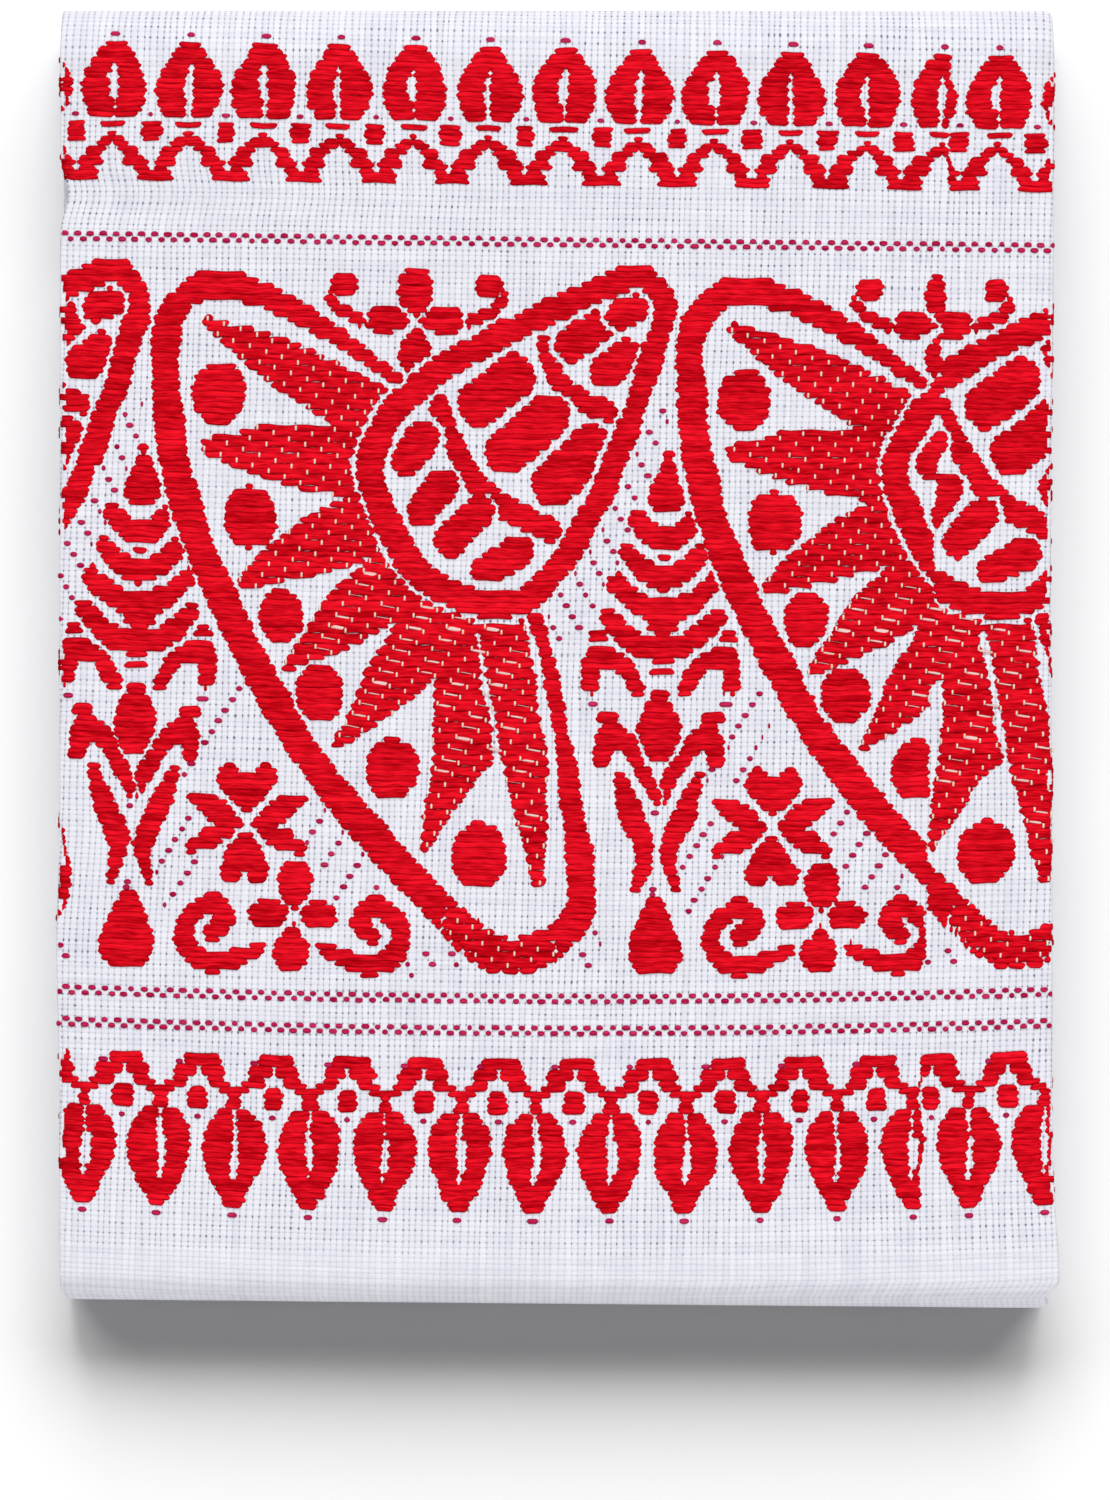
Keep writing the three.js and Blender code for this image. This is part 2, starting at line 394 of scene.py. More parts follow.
@dataclass
class FoldedSheet:
    """The towel's cloth as one thin sheet, folded across its width and then along its length.

    A place on the sheet is (u, v), in the cloth's own millimetres from the middle of the decorated face:
    u runs to the right across the top ply and on round the side folds, and v runs to the back.
    """

    width: float = 176.0
    depth: float = 231.0
    ply_pitch: float = 0.5
    thickness: float = 0.38
    hem_thickness: float = 0.75
    hem_depth: float = 7.0
    layer_pitch: float = 2.4
    band: float = 2.0
    layers: int = 6
    outer_fold_reach: float = 1.6
    inner_selvedge: float = 1.0
    outer_selvedge: float = 0.4
    front_roll_reach: float = 4.0
    middle_turn_reach: float = 3.6
    inner_turns_setback: float = 2.0
    upper_turn_past: float = 1.0
    lower_turn_past: float = 3.5
    inner_end_short: float = 4.0
    hang_steps: int = 12
    bend_steps: int = 60
    front_skew: float = 1.6
    front_spread: float = 0.8
    front_start: float = -60.0
    back_spread: float = 1.0
    back_start: float = 106.0
    end_fall: float = 8.0
    end_hangs_to: float = 3.2
    shoulder_run: float = 2.2
    shoulder_lift: float = -0.035
    front_run: float = 5.5
    front_lift: float = -0.075
    across_steps: tuple[int, ...] = (7, 5, 7, 7, 112, 12, 7)
    along_steps: tuple[int, ...] = (4, 12, 132, 24, 9, 7, 8, 12, 8, 7, 8, 7, 8)
    across: Line = field(init=False)
    along: Line = field(init=False)

    def __post_init__(self) -> None:
        """Lays out the two fold lines."""
        self.front = -self.depth / 2.0 + self.front_roll_reach + self.band / 2.0
        self.back = self.depth / 2.0 - self.end_fall - self.band / 2.0
        self.height = self.layer_height(self.layers - 1) + self.band / 2.0
        self.across = self._across_line()
        self.along = self._along_line()
        middle = (self.across.marks[4] + self.across.marks[5]) / 2.0
        centre = self.across.at(middle)[0]
        self.across_zero = middle - centre
        self.along_zero = self.along.marks[2]

    def layer_height(self, level: float) -> float:
        """The height of a layer's middle."""
        return self.band / 2.0 + level * self.layer_pitch

    def _across_line(self) -> Line:
        """The fold across the width: two inner plies, a narrow left fold, the face and its own back.

        Returns:
            The line, from the inner selvedge to the outer one.
        """
        half, ply = self.width / 2.0, self.ply_pitch
        right = half - self.outer_fold_reach
        inner_right = right - ply
        left = -half + ply / 2.0
        small = ply / 2.0
        return Line.joined([
            straight(-half + self.inner_selvedge, inner_right, -small, 1.0, 0.0),
            HalfTurn(inner_right, -small, small, small, -1.0).run(),
            straight(inner_right, left, small, -1.0, 0.0),
            HalfTurn(left, small, 3.0 * small, -small, 1.0).run(),
            straight(left, right, 3.0 * small, 1.0, 0.0),
            HalfTurn(right, 3.0 * small, -3.0 * small, self.outer_fold_reach, 1.0).run(),
            straight(right, -half + self.outer_selvedge, -3.0 * small, -1.0, 0.0),
        ])

    def _along_line(self) -> Line:
        """The fold along the length: the falling end, then six layers joined by half turns.

        Returns:
            The line, from the hanging end to the inner one.
        """
        z = [self.layer_height(level) for level in range(self.layers)]
        small = self.layer_pitch / 2.0
        upper = self.back + self.upper_turn_past
        lower = self.back + self.lower_turn_past
        inner = self.front + self.inner_turns_setback
        top = float(self.layers - 1)
        drop = np.linspace(self.end_hangs_to, z[5] - self.end_fall, self.hang_steps)
        same = np.ones_like(drop)
        hanging = np.column_stack(
            [same * (self.back + self.end_fall), drop, same, same * 0.0, same * top]
        )
        angle = np.linspace(0.0, math.pi / 2.0, self.bend_steps + 1)[1:]
        bend = np.column_stack([
            self.back + self.end_fall * np.cos(angle),
            z[5] - self.end_fall + self.end_fall * np.sin(angle),
            np.cos(angle),
            np.sin(angle),
            np.full_like(angle, top),
        ])
        return Line.joined([
            hanging,
            bend,
            straight(self.back, self.front, z[5], 1.0, top),
            HalfTurn(self.front, z[5], z[0], -self.front_roll_reach, 1.0, (5.0, 0.0)).run(),
            straight(self.front, lower, z[0], -1.0, 0.0),
            HalfTurn(lower, z[0], z[1], small, 1.0, (0.0, 1.0)).run(),
            straight(lower, inner, z[1], 1.0, 1.0),
            HalfTurn(inner, z[1], z[4], -self.middle_turn_reach, -1.0, (1.0, 4.0)).run(),
            straight(inner, upper, z[4], -1.0, 4.0),
            HalfTurn(upper, z[4], z[3], small, -1.0, (4.0, 3.0)).run(),
            straight(upper, inner, z[3], 1.0, 3.0),
            HalfTurn(inner, z[3], z[2], -small, 1.0, (3.0, 2.0)).run(),
            straight(inner, self.back - self.inner_end_short, z[2], -1.0, 2.0),
        ])

    def _edge(self, side: Side, level: Array, y: Array) -> Array:
        """How far a side edge steps out: evenly from front to back, with the top layer's own bends.

        Args:
            side: Which edge.
            level: The layer of each point, the lowest being zero.
            y: Its depth.

        Returns:
            The step out in millimetres.
        """
        towards_back = np.clip((y - self.front) / (self.back - self.front), 0.0, 1.0)
        front, back = np.array([edge.steps(side) for edge in LAYER_EDGES]).T
        rows = np.arange(len(LAYER_EDGES))
        at_front, at_back = np.interp(level, rows, front), np.interp(level, rows, back)
        out = at_front + (at_back - at_front) * towards_back
        on_top = np.clip(level - (self.layers - 2), 0.0, 1.0)
        for bend in EDGE_BENDS:
            if bend.side is side:
                out = out + on_top * bend.out * bell(y - bend.y, bend.run)
        return out

    def _lift(self, x: Array, y: Array) -> Array:
        """The stack's rise over its face, as a share of its height.

        It is the sum of the swells, a drop along both side edges and the front one, the creases, each a
        bell of the distance to its line, and the ripples, each a plain wave.

        Args:
            x: Places across.
            y: Places in depth.

        Returns:
            The rise at each place.
        """
        lift = np.zeros_like(x)
        for swell in SWELLS:
            lift += swell.lift * bell(np.hypot(x - swell.x, y - swell.y), swell.spread)
        lift += self.shoulder_lift * bell(np.minimum(np.abs(x) - self.width / 2.0, 0.0), self.shoulder_run)
        lift += self.front_lift * bell(y + self.depth / 2.0, self.front_run)
        for crease in CREASES:
            start, end = np.array(crease.start), np.array(crease.end)
            way = end - start
            share = np.clip(((x - start[0]) * way[0] + (y - start[1]) * way[1]) / (way @ way), 0.0, 1.0)
            gap = np.hypot(x - start[0] - share * way[0], y - start[1] - share * way[1])
            lift += crease.height / self.height * bell(gap, crease.breadth)
        for ripple in RIPPLES:
            turn = 2.0 * math.pi * (x / ripple.wave_x + y / ripple.wave_y) + ripple.phase
            lift += ripple.height / self.height * np.sin(turn)
        return lift

    def _skewed(self, x: Array, y: Array) -> Array:
        """The depth of a point once both edges are spread and the front one is set askew.

        Each shift grows with the square of the share of the way from its start to its edge.

        Args:
            x: Places across.
            y: Places in depth.

        Returns:
            The moved depth.
        """
        half = self.depth / 2.0
        to_front = np.clip((self.front_start - y) / (half + self.front_start), 0.0, 1.0)
        to_back = np.clip((y - self.back_start) / (half - self.back_start), 0.0, 1.0)
        front = self.front_skew * (self.width / 2.0 - x) / self.width - self.front_spread
        return y + front * np.square(to_front) + self.back_spread * np.square(to_back)

    def surface(self, u: Array, v: Array) -> Array:
        """The middle of the sheet: a point on the length's line, moved along its normal by the ply's height.

        Args:
            u: Places across the sheet.
            v: Places along the sheet.

        Returns:
            Points in millimetres, with X, Y and Z in the last axis.
        """
        x, height, _, _, _ = self.across.at(self.across_zero + u)
        y, z, normal_y, normal_z, level = self.along.at(self.along_zero + self.back - v)
        half = self.width / 2.0
        x = x + np.where(
            x > 0.0,
            self._edge(Side.RIGHT, level, y) * x / half,
            self._edge(Side.LEFT, level, y) * x / half,
        )
        y = self._skewed(x, y + normal_y * height)
        z = z + normal_z * height
        return np.stack([x, y, z * (1.0 + self._lift(x, y))], axis=-1)

    def surface_and_normal(self, u: Array, v: Array, step: float = 0.04) -> tuple[Array, Array]:
        """The middle of the sheet and its outward normal, the cross product of its two directions.

        Args:
            u: Places across the sheet.
            v: Places along the sheet.
            step: Half the span of a difference.

        Returns:
            Points and unit normals.
        """
        along_u = self.surface(u + step, v) - self.surface(u - step, v)
        along_v = self.surface(u, v + step) - self.surface(u, v - step)
        normal = np.cross(along_u, along_v)
        normal /= np.maximum(np.linalg.norm(normal, axis=-1, keepdims=True), TINY)
        return self.surface(u, v), normal

    def flat_size(self) -> tuple[float, float]:
        """The cloth's width and length before it was folded, in metres."""
        return self.across.marks[-1] * METRE, self.along.marks[-1] * METRE

    def build(self, weave: Weave) -> bpy.types.Object:
        """Builds the closed sheet: its outer face, its inner face and the rim that joins them.

        Args:
            weave: The grid that the sheet's UV map counts in, ends across and picks along.

        Returns:
            The cloth's object.
        """
        u_line = self.across.stations(self.across_steps) - self.across_zero
        v_line = self.along_zero + self.back - self.along.stations(self.along_steps)
        u, v = np.meshgrid(u_line, v_line, indexing="ij")
        points, normals = self.surface_and_normal(u, v)
        hem = smooth(1.0 - (v_line[0] - v) / self.hem_depth)
        thick = self.thickness + (self.hem_thickness - self.thickness) * hem
        shift = normals * thick[..., None] / 2.0
        outer = (points + shift).reshape(-1, 3)
        inner = (points - shift).reshape(-1, 3)

        index = np.arange(u.size).reshape(u.shape)
        face = np.stack([index[:-1, :-1], index[:-1, 1:], index[1:, 1:], index[1:, :-1]], axis=-1)
        face = face.reshape(-1, 4)
        rim = np.concatenate([index[0, :], index[1:, -1], index[-1, -2::-1], index[-2:0:-1, 0]])
        rim_next = np.roll(rim, -1)
        under = u.size
        edge = np.column_stack([rim, rim + under, rim_next + under, rim_next])
        quads = np.concatenate([face, face[:, ::-1] + under, edge])
        piece = new_piece("towel_cloth", np.concatenate([outer, inner]), quads)

        p, q = weave.to_grain(u, v)
        threads = np.column_stack([p.ravel() / weave.end_pitch, q.ravel() / weave.pick_pitch])
        corner = np.empty(len(piece.data.loops), dtype=np.int64)
        piece.data.loops.foreach_get("vertex_index", corner)
        layer = piece.data.uv_layers.new(name=WEAVE_MAP)
        layer.data.foreach_set("uv", threads[corner % under].astype(np.float32).ravel())
        return piece


@dataclass(frozen=True)
class Stroke:
    """One brush stroke of the chart: a smooth line through nodes of (across, up, half width).

    A stroke may be drawn again on the other side of an upright axis. A halo of bare ground round it keeps
    it apart from what was drawn before.
    """

    fill: Fill
    nodes: tuple[Node, ...]
    mirror: float | None = None
    closed: bool = False
    halo: float = 0.8
    spacing: float = 2.0

    def line(self) -> Array:
        """Places along the stroke, by a Catmull-Rom curve through its nodes.

        Returns:
            One (across, up, half width) a row.
        """
        nodes = np.array(self.nodes)
        if self.closed:
            framed = np.concatenate([nodes[-1:], nodes, nodes[:2]])
        else:
            framed = np.concatenate([2 * nodes[:1] - nodes[1:2], nodes, 2 * nodes[-1:] - nodes[-2:-1]])
        spans = []
        for a, b, c, d in zip(framed[:-3], framed[1:-2], framed[2:-1], framed[3:]):
            count = max(2, math.ceil(np.hypot(*(c - b)[:2]) / self.spacing))
            t = np.linspace(0.0, 1.0, count, endpoint=False)[:, None]
            bend = (2 * a - 5 * b + 4 * c - d) * t**2 + (3 * b - a - 3 * c + d) * t**3
            spans.append(0.5 * (2 * b + (c - a) * t + bend))
        return np.concatenate([*spans, framed[-2:-1]])

    def extent(self) -> tuple[Array, Array]:
        """The lowest and highest places that the stroke and its halo reach.

        Returns:
            The lower left and the upper right place.
        """
        line = self.line()
        reach = line[:, 2:] + self.halo
        return (line[:, :2] - reach).min(0), (line[:, :2] + reach).max(0)

    def depth(self, across: Array, up: Array) -> Array:
        """How far places lie outside the stroke: the distance to its line less its half width.

        Args:
            across: Places across.
            up: Places up.

        Returns:
            The distance in millimetres, negative inside.
        """
        line = self.line()
        least = np.full(np.broadcast(across, up).shape, np.inf)
        for start, way in zip(line[:-1], np.diff(line, axis=0)):
            length = max(way[0] ** 2 + way[1] ** 2, TINY)
            share = np.clip(((across - start[0]) * way[0] + (up - start[1]) * way[1]) / length, 0.0, 1.0)
            gap = np.hypot(across - start[0] - share * way[0], up - start[1] - share * way[1])
            least = np.minimum(least, gap - start[2] - share * way[2])
        return least


@dataclass(frozen=True)
class Spindle:
    """An upright shape of the chart: half widths about its axis, from (up, half width) nodes."""

    fill: Fill
    axis: float
    nodes: tuple[tuple[float, float], ...]
    mirror: float | None = None
    halo: float = 0.0

    def extent(self) -> tuple[Array, Array]:
        """The lowest and highest places that the shape and its halo reach.

        Returns:
            The lower left and the upper right place.
        """
        nodes = np.array(self.nodes)
        widest = nodes[:, 1].max() + self.halo
        low, high = nodes[:, 0].min() - self.halo, nodes[:, 0].max() + self.halo
        return np.array([self.axis - widest, low]), np.array([self.axis + widest, high])

    def depth(self, across: Array, up: Array) -> Array:
        """How far each place lies outside the shape, to its side or past its ends.

        Args:
            across: Places across.
            up: Places up.

        Returns:
            The distance in millimetres, negative inside.
        """
        nodes = np.array(sorted(self.nodes))
        beside = np.abs(across - self.axis) - np.interp(up, nodes[:, 0], nodes[:, 1])
        past = np.maximum(nodes[0, 0] - up, up - nodes[-1, 0])
        return np.maximum(beside, past)


@dataclass(frozen=True)
class Panel:
    """An upright shape of the chart with two sides of its own, from (up, left, right) nodes."""

    fill: Fill
    nodes: tuple[Node, ...]
    mirror: float | None = None
    halo: float = 0.0

    def extent(self) -> tuple[Array, Array]:
        """The lowest and highest places that the shape and its halo reach.

        Returns:
            The lower left and the upper right place.
        """
        up, left, right = np.array(self.nodes).T
        low = np.array([left.min(), up.min()]) - self.halo
        return low, np.array([right.max(), up.max()]) + self.halo

    def depth(self, across: Array, up: Array) -> Array:
        """How far each place lies outside the shape, to either side or past its ends.

        Args:
            across: Places across.
            up: Places up.

        Returns:
            The distance in millimetres, negative inside.
        """
        known, left, right = np.array(sorted(self.nodes)).T
        beside = np.maximum(np.interp(up, known, left) - across, across - np.interp(up, known, right))
        return np.maximum(beside, np.maximum(known[0] - up, up - known[-1]))


Brush = Stroke | Spindle | Panel


def bar(fill: Fill, across: float, up: float, reach: float, half: float = 1.0, **more: float) -> Stroke:
    """A short level stroke centred on a place."""
    return Stroke(fill, ((across - reach, up, half), (across + reach, up, half)), **more)


@dataclass(frozen=True)
class LeafBorder:
    """A row of slit leaves over a garland, with a seed between each pair.

    Its brushes are measured from a leaf's tip, going in towards the field. The slit and its wider gap are
    shares of the leaf's length. The roof's places across are in necks. The roof, arms and elbows are
    measured up from the garland's steps, and the seed's outline from the seed's place.
    """

    tip: float
    inward: float
    leaf_start: float
    leaf_length: float
    base_gap: float
    neck: float
    garland_pitch: float
    seed_place: float
    open_side: float
    outline: tuple[tuple[float, float], ...]
    pitch: float = 13.36
    first: float = -81.3
    leaves: tuple[int, int] = (-2, 15)
    thread: float = 0.45
    tip_reach: float = 0.35
    slit_from: float = 0.28
    slit_past: float = 0.3
    slit_half: float = 0.26
    gap_shares: tuple[float, float] = (0.38, 0.72)
    gap_aside: float = 0.3
    gap_half: float = 0.62
    top_reach: float = 2.0
    top_half: float = 0.5
    roof: tuple[Node, ...] = ((-1.4, 0.5, 0.8), (0.0, -0.2, 0.95), (1.4, 0.5, 0.8))
    arm: tuple[Node, Node] = ((1.0, 0.7, 0.9), (3.9, 0.3, 1.1))
    elbow: tuple[Node, Node] = ((3.0, -0.2, 1.0), (5.4, 0.2, 1.05))
    foot_aside: float = 0.4
    foot_reach: float = 2.5
    foot_half: float = 0.9
    foot_pin_aside: float = 3.5
    foot_pin_reach: float = 0.2
    seed_pin_back: float = 3.0
    seed_pin_reach: float = 0.1
    seed_outline: tuple[tuple[float, float], ...] = ((-1.75, 1.45), (-0.9, 1.8), (0.9, 1.8), (1.75, 1.45))

    def brushes(self) -> tuple[Brush, ...]:
        """One leaf, the seed beside it and its share of the garland.

        Returns:
            The brushes, in the order that they are laid.
        """
        middle, step, seed = self.pitch / 2.0, self.garland_pitch, self.seed_place
        start, length = self.leaf_start, self.leaf_length
        base = start + length
        top, arch, upper, lower, foot = (base + self.base_gap + step * k for k in range(5))
        leaf = tuple((start + length * share, half) for share, half in self.outline)
        slit = ((start + self.slit_from * length, self.slit_half), (base + self.slit_past, self.slit_half))
        gap = tuple((start + share * length, self.gap_half) for share in self.gap_shares)
        roof = tuple((across * self.neck, arch + up, half) for across, up, half in self.roof)
        arm = tuple((across, level + up, half) for (across, up, half), level in zip(self.arm, (arch, upper)))
        elbow = tuple((across, lower + up, half) for across, up, half in self.elbow)
        grain = tuple((seed + up, half) for up, half in self.seed_outline)
        return (
            bar(Fill.PIN, 0.0, 0.0, self.tip_reach, self.thread),
            Spindle(Fill.SOLID, 0.0, leaf),
            Spindle(Fill.BARE, 0.0, slit),
            Spindle(Fill.BARE, self.open_side * self.gap_aside, gap),
            bar(Fill.SOLID, 0.0, top, self.top_reach * self.neck, self.top_half, halo=0.0),
            Stroke(Fill.SOLID, roof, halo=0.0),
            Stroke(Fill.SOLID, arm, mirror=0.0, halo=0.0),
            Stroke(Fill.SOLID, elbow, mirror=0.0, halo=0.0),
            bar(Fill.SOLID, middle + self.foot_aside, foot, self.foot_reach, self.foot_half, halo=0.0),
            bar(Fill.PIN, middle - self.foot_pin_aside, foot, self.foot_pin_reach, self.thread, halo=0.0),
            bar(Fill.PIN, middle, seed - self.seed_pin_back, self.seed_pin_reach, self.thread, halo=0.0),
            Spindle(Fill.SOLID, middle, grain),
        )

    def columns(self) -> Array:
        """Where the leaves' middles lie along the picks."""
        return self.first + self.pitch * np.arange(*self.leaves)


UPPER_BORDER = LeafBorder(
    tip=109.3, inward=-1.0, leaf_start=1.3, leaf_length=13.6, base_gap=1.15, neck=1.0, garland_pitch=2.2,
    seed_place=17.0, open_side=-1.0,
    outline=((0.0, 1.5), (0.15, 3.2), (0.4, 5.4), (0.6, 6.0), (0.8, 5.4), (1.0, 3.7)),
)
LOWER_BORDER = LeafBorder(
    tip=-100.9, inward=1.0, leaf_start=1.3, leaf_length=18.5, base_gap=0.3, neck=0.45, garland_pitch=1.93,
    seed_place=20.9, open_side=1.0,
    outline=((0.0, 1.2), (0.2, 3.2), (0.4, 5.0), (0.6, 5.8), (0.8, 5.2), (0.93, 3.4), (1.0, 1.8)),
)


@dataclass(frozen=True)
class WingFigure:
    """The large winged figure of the field, with its egg, feathers and seeds.

    Places are measured from the middle of its cell.
    """

    outline: tuple[Node, ...] = (
        (-4.5, 46.5, 1.0), (-22.0, 58.0, 2.0), (-36.0, 63.0, 2.4), (-43.5, 59.5, 2.5),
        (-46.0, 50.0, 2.6), (-42.0, 25.5, 2.7), (-31.0, 0.5, 2.7), (-16.0, -24.0, 2.8),
        (6.5, -48.0, 2.9), (16.0, -55.5, 3.2), (24.5, -54.5, 3.1), (30.0, -49.0, 2.7),
        (31.0, -43.0, 2.5), (27.5, -22.0, 1.8), (24.0, -4.5, 1.4), (21.5, 4.0, 1.4),
    )
    foot: tuple[Node, ...] = ((8.5, -50.0, 2.4), (16.5, -55.5, 2.8), (24.5, -55.0, 2.4))
    egg: tuple[Node, ...] = (
        (35.0, 64.5, 2.2), (11.0, 53.0, 2.3), (-1.5, 44.5, 2.5), (-7.0, 37.0, 2.5), (-8.5, 29.0, 2.4),
        (-2.0, 15.0, 2.4), (5.0, 9.0, 2.4), (15.0, 6.5, 2.4), (23.0, 10.5, 2.3), (33.5, 29.0, 2.2),
        (41.5, 54.0, 2.1), (42.5, 60.5, 2.1), (40.0, 64.0, 2.1),
    )
    hollow: tuple[Node, ...] = (
        (13.0, 18.0, 10.0), (8.0, 30.0, 15.5), (22.0, 38.0, 15.5), (35.0, 55.0, 7.5),
    )
    inner_bands: tuple[tuple[Node, ...], ...] = (
        ((2.5, 42.5, 1.8), (7.0, 33.0, 2.0), (13.0, 25.5, 2.1), (24.0, 19.5, 2.1)),
        ((21.5, 53.0, 1.7), (25.5, 45.0, 1.9), (36.5, 39.5, 1.8)),
    )
    petals: tuple[tuple[Node, ...], ...] = (
        ((10.5, 42.5, 4.1), (16.0, 47.0, 4.1)),
        ((15.5, 34.0, 4.1), (22.5, 40.0, 4.1)),
        ((24.0, 28.0, 4.1), (30.0, 35.0, 3.8)),
        ((26.5, 53.0, 3.0), (30.5, 56.0, 3.0)),
        ((33.0, 48.5, 3.2), (36.0, 51.0, 3.2)),
        ((35.0, 58.5, 2.7), (37.5, 59.5, 2.7)),
        ((-2.5, 32.0, 2.9), (0.5, 36.0, 3.1)),
        ((0.5, 23.0, 2.9), (4.0, 27.5, 3.0)),
        ((6.0, 18.0, 2.9), (10.5, 23.0, 3.0)),
        ((12.5, 13.0, 2.7), (18.0, 16.0, 3.1)),
    )
    upper_feathers: tuple[tuple[Node, ...], ...] = (
        ((-38.5, 56.0, 1.1), (-25.0, 49.0, 4.1), (-8.5, 40.0, 5.4)),
        ((-38.0, 34.0, 1.3), (-25.0, 33.0, 5.0), (-9.5, 31.0, 6.4)),
        ((-32.0, 9.5, 1.0), (-19.5, 16.0, 4.8), (-7.0, 21.5, 6.4)),
    )
    lower_feathers: tuple[tuple[Node, ...], ...] = (
        ((-22.5, -5.0, 1.0), (-11.5, 4.5, 5.2), (-0.5, 13.0, 6.4)),
        ((-13.0, -18.5, 1.0), (-3.0, -6.0, 5.1), (6.0, 6.0, 6.4)),
    )
    long_feathers: tuple[tuple[Node, ...], ...] = (
        ((4.5, 4.5, 10.0), (-21.5, 3.5, 15.0), (-24.0, 3.3, 12.0), (-37.5, 2.0, 3.2)),
        ((4.5, 11.0, 19.5), (-22.0, 16.0, 24.4), (-44.0, 22.2, 24.4)),
    )
    seeds: tuple[Node, ...] = (
        (-36.0, 43.5, 4.7), (-30.0, 21.5, 4.8), (-24.0, 4.0, 4.0),
        (-16.5, -9.5, 4.2), (-3.5, -23.0, 4.8), (12.5, -38.0, 5.0),
    )
    seed_rise: float = 0.7

    def brushes(self) -> tuple[Brush, ...]:
        """The figure from the bottom up: feathers, the egg's fillings, the egg, outline and seeds.

        Returns:
            The brushes, in the order that they are laid.
        """
        upper = [Stroke(Fill.TIED, nodes, halo=0.0) for nodes in self.upper_feathers]
        lower = [Stroke(Fill.PARTED, nodes, halo=0.0) for nodes in self.lower_feathers]
        longest = [Panel(Fill.PARTED, nodes) for nodes in self.long_feathers]
        filling = [Stroke(Fill.SOLID, nodes) for nodes in (*self.inner_bands, *self.petals)]
        rise = self.seed_rise
        seeds = [Stroke(Fill.SOLID, ((a, b - rise, w), (a, b + rise, w)), halo=0.9) for a, b, w in self.seeds]
        return (
            *lower,
            *upper,
            *longest,
            Stroke(Fill.BARE, self.hollow, halo=0.0),
            *filling,
            Stroke(Fill.SOLID, self.egg, closed=True, halo=0.8),
            Stroke(Fill.SOLID, self.outline, halo=0.6),
            Stroke(Fill.TIED, self.foot, halo=0.0),
            *seeds,
        )


@dataclass(frozen=True)
class TreeFigure:
    """The upright plant between two wings: a bud over bowls, two pairs of hooks, legs and an onion root.

    Places across are measured from the plant's own axis. Bowls are (up, reach, rise), bars (up, reach) and
    spindles (up, half width).
    """

    axis: float = 44.0
    bud: tuple[tuple[float, float], ...] = ((32.5, 1.0), (27.0, 3.3), (25.0, 3.5), (23.5, 2.4))
    heart: tuple[tuple[float, float], ...] = ((-10.5, 2.2), (-15.0, 4.0), (-17.0, 3.7), (-21.5, 1.5))
    onion: tuple[tuple[float, float], ...] = (
        (-45.5, 1.0), (-49.0, 3.0), (-54.0, 5.0), (-57.0, 4.8), (-59.0, 3.0),
    )
    bowls: tuple[tuple[float, float, float], ...] = (
        (18.5, 5.0, 3.5), (11.5, 6.5, 4.5), (5.5, 8.5, 5.0), (-1.5, 9.5, 6.0),
    )
    bowl_half: float = 2.1
    bowl_thinning: float = 0.4
    bowl_steps: int = 3
    hooks: tuple[tuple[Node, ...], ...] = (
        ((4.0, -8.5, 1.4), (7.0, -4.0, 1.6), (12.0, -2.5, 1.8), (12.5, -7.5, 1.7)),
        ((10.0, -20.5, 1.7), (9.0, -16.5, 2.0), (5.0, -19.0, 1.8), (0.5, -27.5, 1.3)),
    )
    leg: tuple[Node, ...] = ((7.0, -24.0, 1.1), (5.0, -30.0, 2.0), (2.0, -37.0, 1.8), (3.5, -44.0, 0.8))
    bars: tuple[tuple[float, float], ...] = (
        (33.5, 0.4), (15.0, 0.4), (3.0, 2.5), (1.0, 1.5), (-5.0, 1.5), (-9.5, 1.0),
    )
    side_bars: tuple[tuple[float, float], ...] = ((11.5, 1.0), (9.5, -13.5))
    side_reach: float = 1.2
    bar_half: float = 0.75
    side_pin: tuple[float, float] = (12.0, -11.0)
    side_pin_reach: float = 0.4
    pins: tuple[float, ...] = (-30.5, -44.5)
    pin_aside: float = 0.5
    pin_reach: float = 0.2
    pin_half: float = 0.5

    def _bowl(self, up: float, reach: float, rise: float) -> Stroke:
        """One bowl, which climbs with the square of the way out and thins towards its ends.

        Args:
            up: The height of its bottom.
            reach: How far it goes to each side.
            rise: How far it climbs.

        Returns:
            The stroke, from its left end to its right.
        """
        ways = [step / self.bowl_steps for step in range(-self.bowl_steps, self.bowl_steps + 1)]
        nodes = [
            (self.axis + way * reach, up + rise * way**2, self.bowl_half - self.bowl_thinning * way**2)
            for way in ways
        ]
        return Stroke(Fill.SOLID, tuple(nodes), halo=0.4)

    def brushes(self) -> tuple[Brush, ...]:
        """The plant from its bud down, with its sides drawn on the right of its axis and mirrored.

        Returns:
            The brushes, in the order that they are laid.
        """
        x, half, pin = self.axis, self.bar_half, self.pin_half
        pin_across, pin_up = self.side_pin
        sides = [
            Stroke(Fill.SOLID, tuple((x + a, b, w) for a, b, w in nodes), mirror=x, halo=0.4)
            for nodes in (*self.hooks, self.leg)
        ]
        trunk = [Spindle(Fill.SOLID, x, nodes, halo=0.7) for nodes in (self.bud, self.heart, self.onion)]
        side_bars = [
            bar(Fill.SOLID, x + a, b, self.side_reach, half, halo=0.0, mirror=x) for a, b in self.side_bars
        ]
        return (
            *[self._bowl(*bowl) for bowl in self.bowls],
            *sides,
            *trunk,
            *[bar(Fill.SOLID, x, up, reach, half, halo=0.0) for up, reach in self.bars],
            *side_bars,
            bar(Fill.PIN, x + pin_across, pin_up, self.side_pin_reach, pin, halo=0.0, mirror=x),
            *[bar(Fill.PIN, x - self.pin_aside, up, self.pin_reach, pin, halo=0.0) for up in self.pins],
        )


